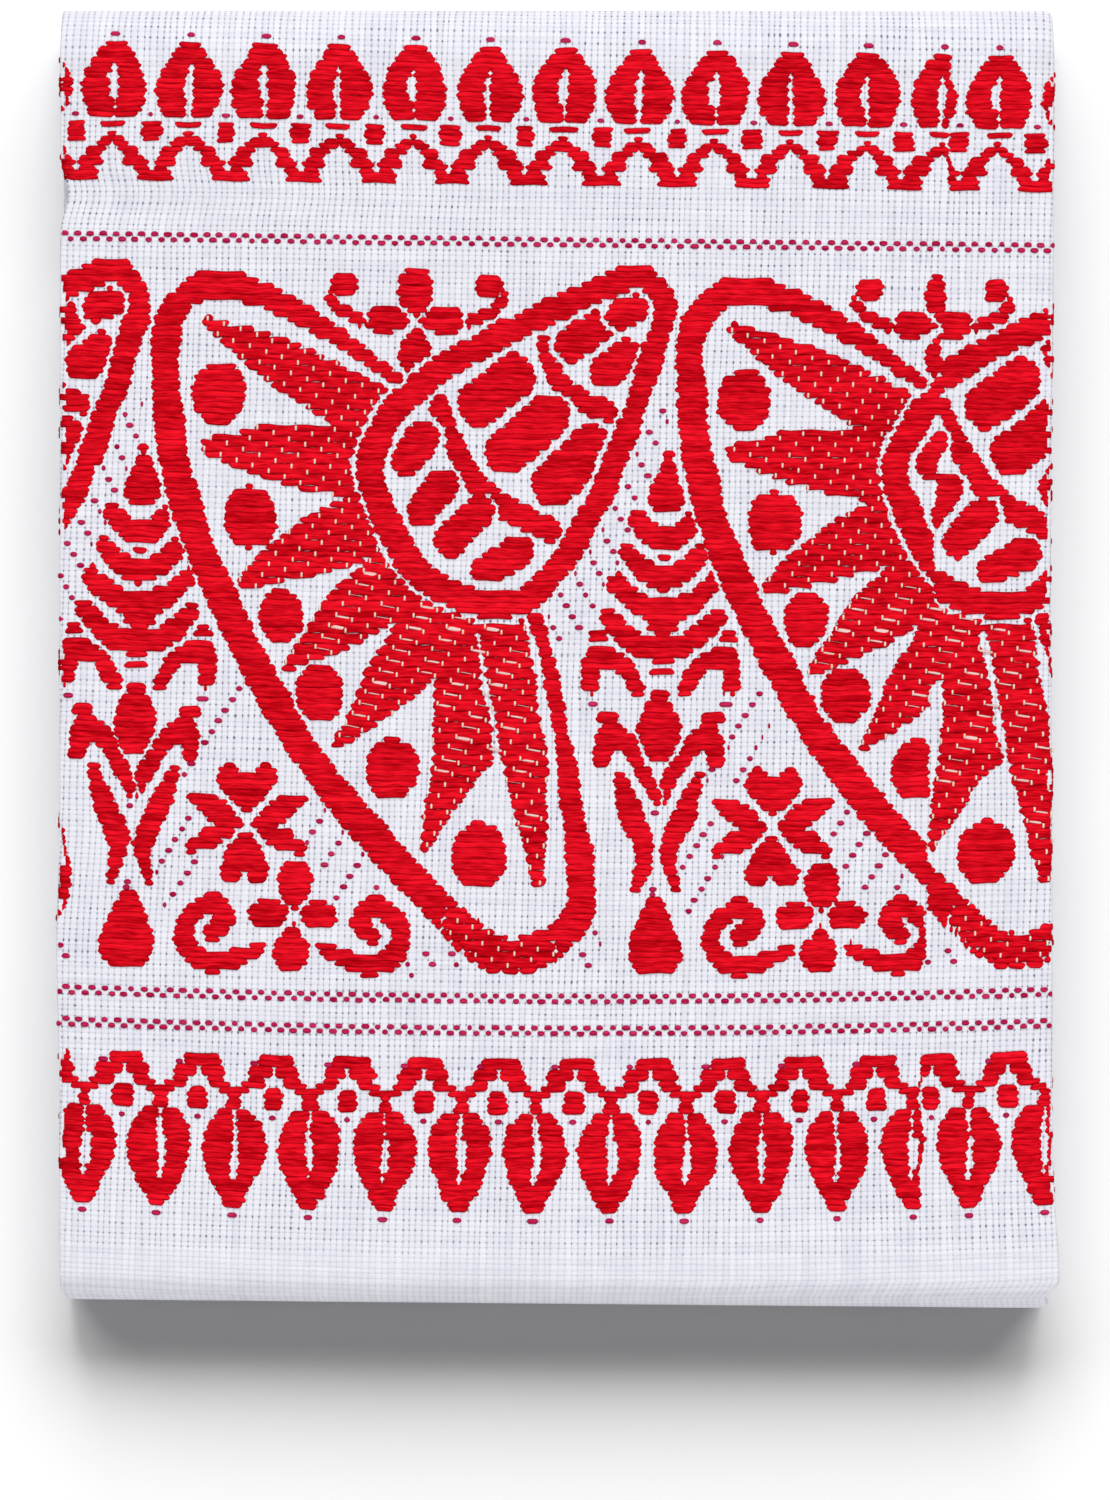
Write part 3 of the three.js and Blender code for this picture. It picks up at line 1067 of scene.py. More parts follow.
@dataclass(frozen=True)
class SprigFigures:
    """The smaller figures of a cell: the crown flower, the star, and the cross with its two scrolls.

    A flower's petals lie at (side, rise, fall) from its centre. Each petal is measured from its own place,
    and its foot from the flower's centre. The star's arms and hearts are measured from the star's centre.
    """

    crown: tuple[float, float] = (-1.5, 56.5)
    star: tuple[float, float] = (-29.0, -33.0)
    cross: tuple[float, float] = (-20.0, -49.5)
    crown_petals: tuple[float, float, float] = (5.6, 5.6, 5.3)
    cross_petals: tuple[float, float, float] = (4.6, 6.0, 6.2)
    side_petal: tuple[Node, Node] = ((1.6, 0.5, 1.7), (-0.4, 0.5, 2.7))
    upper_petal: tuple[Node, Node] = ((0.0, 1.2, 3.1), (0.0, -0.4, 3.2))
    lower_petal: tuple[Node, Node] = ((0.0, -0.3, 3.2), (0.0, 0.6, 3.0))
    petal_feet: tuple[Node, Node, Node] = ((1.5, 0.4, 0.7), (0.0, 1.9, 0.7), (0.0, -1.8, 0.7))
    arms: tuple[tuple[Node, ...], ...] = (
        ((-1.6, 0.0, 0.9), (-5.6, 2.2, 2.1), (-9.9, 4.5, 1.0)),
        ((-1.6, -0.2, 0.9), (-5.6, -2.2, 2.0), (-9.9, -4.5, 1.0)),
    )
    hearts: tuple[tuple[Node, ...], ...] = (
        ((-3.0, 8.2, 2.3), (-0.8, 5.6, 2.5), (0.0, 3.2, 1.2)),
        ((-2.7, -8.4, 2.1), (-0.8, -5.4, 2.4), (0.0, -2.6, 1.2)),
    )
    crown_bud: tuple[float, float, float, float] = (-14.4, 63.2, 0.8, 1.7)
    scroll: tuple[Node, ...] = (
        (-34.0, -52.5, 1.7), (-32.0, -50.0, 2.1), (-34.0, -47.5, 1.9), (-38.0, -49.5, 1.7),
        (-39.5, -53.0, 1.7), (-37.5, -56.5, 1.9), (-33.0, -58.0, 1.7), (-25.5, -55.0, 1.2),
    )
    crown_scroll: tuple[Node, ...] = ((-17.0, 61.0, 1.0), (-15.0, 58.5, 1.1), (-11.0, 57.0, 1.0))

    def _flower(self, centre: tuple[float, float], petals: tuple[float, float, float]) -> list[Stroke]:
        """Four petals round a centre, each narrowed to a foot beside it.

        Args:
            centre: The flower's middle.
            petals: How far its petals lie to the side, above and below.

        Returns:
            The strokes of its side, upper and lower petals.
        """
        a, b = centre
        side, rise, fall = petals
        shapes = (self.side_petal, self.upper_petal, self.lower_petal)
        places = ((side, 0.0), (0.0, rise), (0.0, -fall))
        axes = (a, None, None)
        strokes = []
        for shape, (across, up), foot, axis in zip(shapes, places, self.petal_feet, axes):
            nodes = [(a + across + x, b + up + y, half) for x, y, half in shape]
            nodes.append((a + foot[0], b + foot[1], foot[2]))
            strokes.append(Stroke(Fill.SOLID, tuple(nodes), mirror=axis, halo=0.4))
        return strokes

    def brushes(self) -> tuple[Brush, ...]:
        """The crown, the star and the cross, each mirrored on its own upright axis.

        Returns:
            The brushes, in the order that they are laid.
        """
        axis = self.crown[0]
        s, t = self.star
        star = [tuple((s + a, t + b, half) for a, b, half in nodes) for nodes in (*self.arms, *self.hearts)]
        return (
            *self._flower(self.crown, self.crown_petals),
            bar(Fill.SOLID, *self.crown_bud, mirror=axis, halo=0.0),
            Stroke(Fill.SOLID, self.crown_scroll, mirror=axis, halo=0.3),
            *[Stroke(Fill.SOLID, nodes, mirror=s, halo=0.0) for nodes in star],
            Stroke(Fill.SOLID, self.scroll, mirror=self.cross[0]),
            *self._flower(self.cross, self.cross_petals),
        )


@dataclass(frozen=True)
class Sprinkle:
    """Slanting lines of single stitches on the bare ground beside the plant and the star."""

    right: tuple[tuple[Node, ...], ...] = (
        ((41.0, 40.0, 3.0), (34.0, 20.0, 4.0), (27.0, 4.0, 4.0)),
        ((49.0, 36.0, 2.0), (52.0, 20.0, 2.0)),
        ((31.5, -52.0, 2.5), (33.0, -57.0, 2.5)),
        ((12.0, -56.0, 1.0), (0.0, -57.0, 3.0)),
    )
    left: tuple[tuple[Node, ...], ...] = (
        ((-34.0, -12.0, 5.0), (-38.0, -22.0, 4.0)),
        ((-14.0, -34.0, 5.0), (-9.0, -45.0, 4.0)),
        ((-41.0, -40.0, 4.0), (-44.0, -46.0, 2.5)),
        ((51.5, -33.0, 3.0), (50.0, -44.0, 3.0)),
    )

    def brushes(self) -> tuple[Brush, ...]:
        """The patches of ground that the stitches are spread over.

        Returns:
            The brushes, in the order that they are laid.
        """
        right = [Stroke(Fill.SPRINKLE_RIGHT, nodes, halo=0.0) for nodes in self.right]
        left = [Stroke(Fill.SPRINKLE_LEFT, nodes, halo=0.0) for nodes in self.left]
        return (*right, *left)


@dataclass(frozen=True)
class Floats:
    """Yarns that float on the cloth: two ends along a pick each, with the pick's place, pitch and number."""

    start: Array
    end: Array
    pick: Array
    pitch: Array
    number: Array


@dataclass(frozen=True)
class Threads:
    """Short white threads on the face, one row for each: two ends in the weave and a half width."""

    start: Array
    end: Array
    half_width: Array


@dataclass(frozen=True)
class Wave:
    """How a yarn waves across its length: height, length, phase, and the shifts of a pair and of its mate."""

    height: float
    length: float
    phase: float = 0.0
    pair_shift: float = 0.9
    mate_shift: float = 0.45

    def at(self, place: Array, number: Array) -> Array:
        """The wave's height at places along a yarn: a sine of the place, shifted by the yarn's number."""
        shift = self.pair_shift * (number // 2) + self.mate_shift * (number % 2)
        return self.height * np.sin(2.0 * math.pi * place / self.length + self.phase + shift)


@dataclass(frozen=True)
class RowZone:
    """A stretch of pattern picks: the first one's place, and their pitch and number going to the front."""

    first: float
    pitch: float
    count: int


@dataclass
class Chart:
    """The border's chart: a row for each pattern pick, and four columns for each end of the loom."""

    weave: Weave
    upper: RowZone = RowZone(109.9, 0.86, 32)
    figured: RowZone = RowZone(68.9, 0.97, 133)
    lower: RowZone = RowZone(-72.4, 0.98, 30)
    zone_numbers: int = 100
    ends: int = 168
    parts: int = 4
    pair_pull: float = 0.25
    skip_after: float = 67.6
    skipped_ends: int = 3
    repeat: float = 93.3
    cell: tuple[float, float] = (-25.0, 2.3)
    cells: tuple[int, int] = (-1, 3)
    line_picks: tuple[float, ...] = (73.5, -61.2, -66.9)
    tie_period: int = 24
    tie_step: int = 10
    tie_reach: float = 0.56
    tie_half_width: float = 0.19
    slit_start: float = 0.25
    slit_fall: float = 0.27
    slit_half_width: float = 0.19
    wide_slit_half_width: float = 0.34
    wide_slit_every: int = 5
    wide_slit_first: int = 3
    wide_slit_more: float = 0.3
    slit_uneven: float = 1.6
    slit_most: float = 1.2
    slit_seed: int = SEED + 7
    parting_height: float = 0.15
    sprinkle_period: int = 4

    def __post_init__(self) -> None:
        """Sets up the bare grid: the upper border's rows, the field's and the lower border's."""
        zones = (self.upper, self.figured, self.lower)
        self.row_place = np.concatenate([zone.first - zone.pitch * np.arange(zone.count) for zone in zones])
        self.row_pitch = np.concatenate([np.full(zone.count, zone.pitch) for zone in zones])
        pairs = [np.arange(zone.count) // 2 for zone in zones]
        self.row_number = np.concatenate(
            [self.zone_numbers * k + np.arange(zone.count) for k, zone in enumerate(zones)]
        )
        self.row_pair = self.row_number // 2
        middles = np.concatenate(
            [zone.first - zone.pitch * (2.0 * pair + 0.5) for zone, pair in zip(zones, pairs)]
        )
        self.drawn_up = self.row_place + self.pair_pull * (middles - self.row_place)
        self.in_border = np.ones(len(self.row_place), dtype=bool)
        self.in_border[self.upper.count:self.upper.count + self.figured.count] = False
        column = np.arange(self.ends * self.parts)
        self.end_index = column // self.parts - self.ends // 2
        self.column_pitch = self.weave.end_pitch / self.parts
        self.place = (column + 0.5) * self.column_pitch - self.ends * self.weave.end_pitch / 2.0
        skipped = (self.end_index + 1) * self.weave.end_pitch > self.skip_after
        self.drawn_place = self.place + skipped * self.skipped_ends * self.weave.end_pitch
        self.cover = np.zeros((len(self.row_place), len(column)), dtype=np.int8)

    def paint(self, brushes: tuple[Brush, ...], across: float, up: float, turn: float = 1.0) -> None:
        """Lays brushes on the chart in order, each with its halo cleared first.

        Args:
            brushes: The strokes and spindles, in their own millimetres.
            across: Where their origin lies along the picks.
            up: Where their origin lies along the ends.
            turn: One, or minus one for brushes that are drawn upside down.
        """
        for brush in brushes:
            self._lay(brush, self.drawn_place - across, (self.drawn_up - up) * turn)
            if brush.mirror is not None:
                mirrored = 2.0 * brush.mirror - self.drawn_place + across
                self._lay(brush, mirrored, (self.drawn_up - up) * turn)

    def _lay(self, brush: Brush, across: Array, up: Array) -> None:
        """Lays one brush on the part of the grid that it can reach.

        Args:
            brush: The brush.
            across: Each column's place for it.
            up: Each row's place for it.
        """
        low, high = brush.extent()
        rows = np.flatnonzero((up >= low[1]) & (up <= high[1]))
        columns = np.flatnonzero((across >= low[0]) & (across <= high[0]))
        if not len(rows) or not len(columns):
            return
        where = np.ix_(rows, columns)
        depth = brush.depth(across[columns][None, :], up[rows][:, None])
        part = self.cover[where]
        part[depth <= brush.halo] = Fill.BARE
        part[depth <= 0.0] = brush.fill
        self.cover[where] = part

    def draw(self) -> None:
        """Draws the sprinkles, the figures of every cell, and both leaf borders."""
        places = [(self.cell[0] + k * self.repeat, self.cell[1]) for k in range(*self.cells)]
        for figure in (Sprinkle(), SprigFigures(), TreeFigure(), WingFigure()):
            for across, up in places:
                self.paint(figure.brushes(), across, up)
        for border in (UPPER_BORDER, LOWER_BORDER):
            for across in border.columns():
                self.paint(border.brushes(), across, border.tip, border.inward)
        self._thin_sprinkles()

    def _thin_sprinkles(self) -> None:
        """Keeps one stitch in each period of a slanting lattice, and bares the rest."""
        pair = self.row_pair[:, None]
        first_of_pair = self.row_number[:, None] % 2 == 0
        rising = (self.end_index[None] - pair) % self.sprinkle_period == 0
        falling = (self.end_index[None] + pair) % (self.sprinkle_period + 1) == 0
        right = self.cover == Fill.SPRINKLE_RIGHT
        left = self.cover == Fill.SPRINKLE_LEFT
        stitched = ((right & rising) | (left & falling)) & first_of_pair
        self.cover[right | left] = Fill.BARE
        self.cover[stitched] = Fill.PIN

    def red(self) -> Array:
        """Where pattern yarn covers the ground."""
        return (self.cover > Fill.BARE) & (self.cover < Fill.PIN)

    def _tied(self) -> tuple[Array, Array]:
        """Where an end is brought over a pattern yarn to hold it, in a slanting order.

        Returns:
            Row and column numbers.
        """
        plumage = (self.cover == Fill.TIED) | (self.cover == Fill.PARTED)
        column = np.arange(self.cover.shape[1])
        turn = (column[None] - self.tie_step * self.row_number[:, None]) % self.tie_period == 0
        return np.nonzero(plumage & turn)

    def ties(self) -> Threads:
        """The white ends over the pattern yarns, each as long as its yarn is broad.

        Returns:
            One thread for each tie.
        """
        row, column = self._tied()
        across, up = self.place[column], self.row_place[row]
        return Threads(
            np.column_stack([across, up + self.tie_reach]),
            np.column_stack([across, up - self.tie_reach]),
            np.full(len(row), self.tie_half_width),
        )

    def slits(self) -> Threads:
        """The bits of ground that show where a pair of yarns parts, from a tie to the next below it.

        Returns:
            One thread for each slit.
        """
        row, column = self._tied()
        past = np.minimum(column + self.tie_step, self.cover.shape[1] - 1)
        below = np.minimum(row + 1, len(self.row_place) - 1)
        open_here = (self.cover[row, column] == Fill.PARTED) & (self.cover[below, past] == Fill.PARTED)
        open_here &= self.row_number[row] % 2 == 0
        row, column, past = row[open_here], column[open_here], past[open_here]
        between = self.row_place[row] - self.row_pitch[row] / 2.0
        wide = self.row_pair[row] % self.wide_slit_every == self.wide_slit_first
        uneven = np.random.default_rng(self.slit_seed).uniform(0.0, self.slit_uneven, len(row))
        uneven = np.minimum(uneven + self.wide_slit_more * wide, self.slit_most)
        half = np.where(wide, self.wide_slit_half_width, self.slit_half_width) * uneven
        return Threads(
            np.column_stack([self.place[column] - self.slit_start, between + self.slit_fall]),
            np.column_stack([self.place[past], between - self.slit_fall]),
            half,
        )

    def parting(self) -> Wave:
        """The wave of the feathers' yarns, which spreads a pair half way from a tie to the next.

        Returns:
            The wave.
        """
        length = self.tie_period * self.column_pitch
        turn = 2.0 * math.pi / self.tie_period
        middle = self.ends * self.parts / 2.0 - 0.5 * (self.tie_step + 1)
        return Wave(
            self.parting_height,
            length,
            phase=turn * middle + 0.5 * math.pi,
            pair_shift=-2.0 * turn * self.tie_step,
            mate_shift=math.pi,
        )

    def floats(self, covered: Array) -> Floats:
        """A yarn for each unbroken run of covered columns.

        Args:
            covered: Which cells of the chart are covered.

        Returns:
            The yarns.
        """
        padded = np.pad(covered.astype(np.int8), ((0, 0), (1, 1)))
        change = np.diff(padded, axis=1)
        row, first = np.nonzero(change == 1)
        _, past = np.nonzero(change == -1)
        half = self.column_pitch / 2.0
        return Floats(
            self.place[first] - half,
            self.place[past - 1] + half,
            self.row_place[row],
            self.row_pitch[row],
            self.row_number[row],
        )

    def pins(self) -> Floats:
        """A single stitch for each run of pins."""
        return self.floats(self.cover == Fill.PIN)

    def line_stitches(self) -> Floats:
        """The plain-woven lines: two picks each, over every other end in turn.

        Returns:
            The stitches.
        """
        pitch, width = self.weave.pick_pitch, self.weave.end_pitch
        starts, picks = [], []
        for middle in self.line_picks:
            for turn, offset in ((0, 0.5), (1, -0.5)):
                ends = (np.arange(turn, self.ends, 2) - self.ends // 2) * width
                starts.append(ends)
                picks.append(np.full_like(ends, middle + offset * pitch))
        start = np.concatenate(starts)
        number = 2 * np.arange(len(start))
        return Floats(start, start + width, np.concatenate(picks), np.full_like(start, pitch), number)


def tube_faces(rings: Array) -> Array:
    """Faces of six-sided strands whose rings lie one after another: tubes, and two quads on each end.

    Args:
        rings: The number of rings of each strand.

    Returns:
        Four indices of points for each face.
    """
    n = YARN_SIDES
    first = np.cumsum(rings) - rings
    last = first + rings - 1
    inner = np.setdiff1d(np.arange(rings.sum()), last)[:, None] * n
    side = np.arange(n)
    ahead = (side + 1) % n
    tube = np.stack([inner + side, inner + n + side, inner + n + ahead, inner + ahead], axis=-1)
    near = first[:, None, None] * n + YARN_CAP
    far = last[:, None, None] * n + YARN_CAP[:, ::-1]
    return np.concatenate([part.reshape(-1, 4) for part in (tube, near, far)])


def mark_strand(piece: bpy.types.Object, along: Array, across: Array, tone: Array) -> None:
    """Gives each point its place on its strand, as an attribute of (along, across, tone).

    Args:
        piece: The strands' object.
        along: Lengths along the strands.
        across: Places across them, from minus one to one.
        tone: Each strand's own tone.
    """
    strand = np.stack(np.broadcast_arrays(along, across, tone), axis=-1)
    attribute = piece.data.attributes.new(STRAND, "FLOAT_VECTOR", "POINT")
    attribute.data.foreach_set("vector", strand.astype(np.float32).ravel())


@dataclass
class YarnLayer:
    """A joined mesh of floats: each is a flattened six-sided yarn whose two ends dip into the cloth."""

    name: str
    fullness: float = 0.62
    half_height: float = 0.17
    seat: float = 0.12
    dip: float = 0.24
    overhang: float = 0.22
    end_breadth: float = 0.50
    ragged: float = 0.10
    tooth: float = 0.26
    draw_in: float = 0.20
    wander: float = 0.05
    wave: Wave = Wave(0.09, 7.1)
    end_run: float = 0.80
    end_share: float = 0.42
    step: float = 1.9
    shortest: float = 0.5
    start_turns: tuple[float, float] = (12.99, 4.1)
    end_turns: tuple[float, float] = (7.23, 5.3)
    tooth_run: float = 4.0
    loft_uneven: float = 0.12
    fibre_reel: float = 400.0

    @classmethod
    def fine(cls, name: str) -> "YarnLayer":
        """A layer of thin single stitches, which run straight and end evenly.

        Args:
            name: The object's name.

        Returns:
            The layer.
        """
        return cls(
            name, fullness=0.47, half_height=0.20, overhang=0.08, end_breadth=0.7, ragged=0.08, tooth=0.0,
            draw_in=0.0, wave=Wave(0.0, 1.0), end_run=0.5,
        )

    def _tooth(self, place: Array, pair: Array, turns: tuple[float, float]) -> Array:
        """How far a pair's ends jut out: a sine that turns with the pair's number and its place."""
        return self.tooth * np.sin(turns[0] * pair + turns[1] * np.round(place / self.tooth_run))

    def build(self, floats: Floats, sheet: FoldedSheet, weave: Weave, seed: int) -> bpy.types.Object:
        """Builds the floats on the sheet.

        Along a float the yarn's breadth is a quarter sine from each end, and its height a soft step. Its
        section is an ellipse. The two yarns of a pair end together, drawn in to each other, and every yarn
        waves a little across its length.

        Args:
            floats: Where the yarns run in the weave.
            sheet: The cloth that they lie on.
            weave: The grain that they follow.
            seed: Sets the small unevenness.

        Returns:
            The yarns' object, with a strand attribute of (length along, place across, tone).
        """
        chance = np.random.default_rng(seed)
        count = len(floats.start)
        pair = floats.number // 2
        start = floats.start - self.overhang + chance.normal(0.0, self.ragged, count)
        start += self._tooth(floats.start, pair, self.start_turns)
        end = floats.end + self.overhang + chance.normal(0.0, self.ragged, count)
        end += self._tooth(floats.end, pair, self.end_turns)
        length = np.maximum(end - start, self.shortest)
        tone = chance.normal(0.0, 1.0, count)
        sway = chance.normal(0.0, self.wander, count)
        loft = 1.0 + chance.normal(0.0, self.loft_uneven, count)
        origin = chance.uniform(0.0, self.fibre_reel, count)

        run = np.minimum(self.end_run, length * self.end_share)
        spans = np.maximum(1, np.ceil((length - 2.0 * run) / self.step)).astype(int)
        rings = spans + 3
        owner = np.repeat(np.arange(count), rings)
        first = np.cumsum(rings) - rings
        k = np.arange(rings.sum()) - first[owner]
        inner = run[owner] + (k - 1) * ((length - 2.0 * run) / spans)[owner]
        along = np.where(k == 0, 0.0, np.where(k == rings[owner] - 1, length[owner], inner))
        to_end = np.minimum(along, length[owner] - along) / run[owner]
        swell = np.sin(0.5 * math.pi * np.clip(to_end, 0.0, 1.0))
        breadth = self.end_breadth + (1.0 - self.end_breadth) * swell
        raised = smooth(to_end)

        p = start[owner] + along
        to_pair = np.where(floats.number % 2 == 0, -1.0, 1.0) * self.draw_in
        wave = self.wave.at(p, floats.number[owner])
        q = floats.pick[owner] + sway[owner] * np.sin(math.pi * along / length[owner])
        q += wave + to_pair[owner] * (1.0 - raised)
        u, v = weave.to_cloth(p, q)

        angle = 2.0 * math.pi * np.arange(YARN_SIDES) / YARN_SIDES
        half_width = self.fullness * floats.pitch[owner] * breadth
        ring_v = v[:, None] + half_width[:, None] * np.cos(angle)
        ring_u = np.broadcast_to(u[:, None], ring_v.shape)
        points, normals = sheet.surface_and_normal(ring_u, ring_v)
        rise = sheet.thickness / 2.0 + self.seat * loft[owner] - self.dip * (1.0 - raised)
        height = rise[:, None] + (breadth * self.half_height * loft[owner])[:, None] * np.sin(angle)
        points = points + normals * height[..., None]

        piece = new_piece(self.name, points.reshape(-1, 3), tube_faces(rings))
        mark_strand(piece, (origin[owner] + along)[:, None], np.cos(angle), tone[owner][:, None])
        return piece


@dataclass
class WhiteThreads:
    """A joined mesh of short white threads, each arched over the pattern yarns between its two ends."""

    name: str
    over: float = 0.26
    half_height: float = 0.12
    uneven: float = 0.06
    stations: tuple[float, ...] = (0.0, 0.19, 0.5, 0.81, 1.0)
    heights: tuple[float, ...] = (-0.55, 0.7, 1.0, 0.7, -0.55)
    breadths: tuple[float, ...] = (0.7, 1.0, 1.0, 1.0, 0.7)

    def build(self, threads: Threads, sheet: FoldedSheet, weave: Weave) -> bpy.types.Object:
        """Builds a small arched thread between each pair of ends.

        Its section is an ellipse across its own direction, and its height follows the listed shares.

        Args:
            threads: Where the threads run in the weave.
            sheet: The cloth that they belong to.
            weave: The grain that they follow.

        Returns:
            The joined object, with the same strand attribute as the pattern yarns.
        """
        chance = np.random.default_rng(SEED)
        count = len(threads.start)
        way = threads.end - threads.start
        start = threads.start + chance.normal(0.0, self.uneven, (count, 2))
        length = np.linalg.norm(way, axis=1)
        share = np.array(self.stations)[None, :, None]
        line = start[:, None] + way[:, None] * share
        across = np.column_stack([-way[:, 1], way[:, 0]]) / length[:, None]
        half = threads.half_width[:, None] * np.array(self.breadths)
        angle = 2.0 * math.pi * np.arange(YARN_SIDES) / YARN_SIDES
        ring = line[:, :, None] + across[:, None, None] * (half[..., None] * np.cos(angle))[..., None]
        u, v = weave.to_cloth(ring[..., 0], ring[..., 1])
        points, normals = sheet.surface_and_normal(u, v)
        rise = sheet.thickness / 2.0 + self.over * np.array(self.heights)
        height = rise[None, :, None] + self.half_height * np.sin(angle)
        points = points + normals * np.broadcast_to(height, u.shape)[..., None]

        rings = np.full(count, len(self.stations))
        piece = new_piece(self.name, points.reshape(-1, 3), tube_faces(rings))
        along = share * length[:, None, None] + start[:, None, :1]
        mark_strand(piece, along, np.cos(angle), np.zeros(1))
        return piece


Colour = tuple[float, float, float]


class Graph:
    """A short hand for adding and linking nodes in one tree."""

    MIX_FACTOR = 0
    MIX_FIRST = 6
    MIX_SECOND = 7
    MIX_RESULT = 2

    def __init__(self, tree: bpy.types.NodeTree) -> None:
        """Starts on a tree.

        Args:
            tree: A material's tree or a node group.
        """
        self.tree = tree

    def node(self, kind: str, **values: object) -> bpy.types.Node:
        """Adds a node and sets its properties.

        Args:
            kind: The node's type.
            values: Its properties.

        Returns:
            The node.
        """
        made = self.tree.nodes.new(kind)
        for name, value in values.items():
            setattr(made, name, value)
        return made

    def feed(self, socket: bpy.types.NodeSocket, value: object) -> None:
        """Links a socket to another, or sets it to a plain value.

        Args:
            socket: The input.
            value: An output to link, or a value.
        """
        if isinstance(value, bpy.types.NodeSocket):
            self.tree.links.new(value, socket)
        else:
            socket.default_value = value

    def math(self, operation: str, *values: object, clamp: bool = False) -> bpy.types.NodeSocket:
        """A Math node of up to three values.

        Args:
            operation: What it works out.
            values: Sockets or numbers.
            clamp: Whether to keep to 0 and 1.

        Returns:
            Its output.
        """
        made = self.node("ShaderNodeMath", operation=operation, use_clamp=clamp)
        for socket, value in zip(made.inputs, values):
            self.feed(socket, value)
        return made.outputs[0]

    def ramp(self, value: object, low: float, high: float, to: tuple[float, float] = (0.0, 1.0)) -> object:
        """A smooth Map Range from low and high to two ends.

        Args:
            value: What is mapped.
            low: Where it starts.
            high: Where it ends.
            to: The two ends.

        Returns:
            Its output.
        """
        made = self.node("ShaderNodeMapRange", interpolation_type="SMOOTHSTEP")
        names = ("Value", "From Min", "From Max", "To Min", "To Max")
        for name, given in zip(names, (value, low, high, *to)):
            self.feed(made.inputs[name], given)
        return made.outputs["Result"]

    def mix(self, factor: object, first: object, second: object, blend: str = "MIX") -> object:
        """A colour Mix node.

        Args:
            factor: The share of the second.
            first: A colour.
            second: A colour.
            blend: How they mix.

        Returns:
            Its output.
        """
        made = self.node("ShaderNodeMix", data_type="RGBA", blend_type=blend)
        self.feed(made.inputs[self.MIX_FACTOR], factor)
        self.feed(made.inputs[self.MIX_FIRST], first)
        self.feed(made.inputs[self.MIX_SECOND], second)
        return made.outputs[self.MIX_RESULT]

    def place(self, x: object, y: object, z: object = 0.0) -> bpy.types.NodeSocket:
        """A vector from three values.

        Args:
            x: The first.
            y: The second.
            z: The third.

        Returns:
            The vector.
        """
        made = self.node("ShaderNodeCombineXYZ")
        for socket, value in zip(made.inputs, (x, y, z)):
            self.feed(socket, value)
        return made.outputs[0]

    def scaled(self, x: object, y: object, scale: tuple[float, float], z: float = 0.0) -> object:
        """A vector from two values, each times its own scale, and a plain third one."""
        return self.place(self.math("MULTIPLY", x, scale[0]), self.math("MULTIPLY", y, scale[1]), z)

    def noise(self, vector: object, scale: float = 1.0, detail: float = 2.0) -> bpy.types.NodeSocket:
        """A Noise Texture's value.

        Args:
            vector: Where it is read.
            scale: Its scale.
            detail: Its finer layers.

        Returns:
            Its value.
        """
        made = self.node("ShaderNodeTexNoise")
        self.feed(made.inputs["Vector"], vector)
        made.inputs["Scale"].default_value = scale
        made.inputs["Detail"].default_value = detail
        return made.outputs["Fac"]


def opaque(colour: Colour) -> tuple[float, float, float, float]:
    """A colour with full alpha."""
    return (*colour, 1.0)


class SpunYarn:
    """The node group of spun yarn: fine fibres along a strand, slubs, and a mask of painted shade at its
    edges.
    """

    NAME = "spun yarn"
    STRETCH = 0.16
    TWIST = 0.12
    FIBRE_SPREAD = 0.8
    FIBRE_SCALE = 2.2
    FIBRE_DETAIL = 3.0
    TONE_SHIFT = 3.7
    EDGE = (0.45, 1.0)

    @classmethod
    def group(cls) -> bpy.types.NodeTree:
        """Builds the group once.

        Returns:
            A group from a Strand vector to a Fibre value, an Edge mask of painted shade and a Slub value.
        """
        known = bpy.data.node_groups.get(cls.NAME)
        if known:
            return known
        tree = bpy.data.node_groups.new(cls.NAME, "ShaderNodeTree")
        tree.interface.new_socket("Strand", in_out="INPUT", socket_type="NodeSocketVector")
        for name in ("Fibre", "Edge", "Slub"):
            tree.interface.new_socket(name, in_out="OUTPUT", socket_type="NodeSocketFloat")
        graph = Graph(tree)
        given = graph.node("NodeGroupInput")
        result = graph.node("NodeGroupOutput")
        parts = graph.node("ShaderNodeSeparateXYZ")
        graph.feed(parts.inputs[0], given.outputs["Strand"])
        along, across, tone = parts.outputs
        stretched = graph.math("MULTIPLY", along, cls.STRETCH)
        lengthwise = graph.math("MULTIPLY_ADD", across, cls.TWIST, stretched)
        crosswise = graph.math("MULTIPLY", across, cls.FIBRE_SPREAD)
        depthwise = graph.math("MULTIPLY", tone, cls.TONE_SHIFT)
        where = graph.place(lengthwise, crosswise, depthwise)
        fibre = graph.noise(where, cls.FIBRE_SCALE, cls.FIBRE_DETAIL)
        # Edge: where painted shade falls towards a yarn's sides, as its round section turns away.
        edge = graph.ramp(graph.math("ABSOLUTE", across), *cls.EDGE)
        slub = graph.noise(graph.place(stretched, tone))
        graph.feed(result.inputs["Fibre"], fibre)
        graph.feed(result.inputs["Edge"], edge)
        graph.feed(result.inputs["Slub"], slub)
        return tree


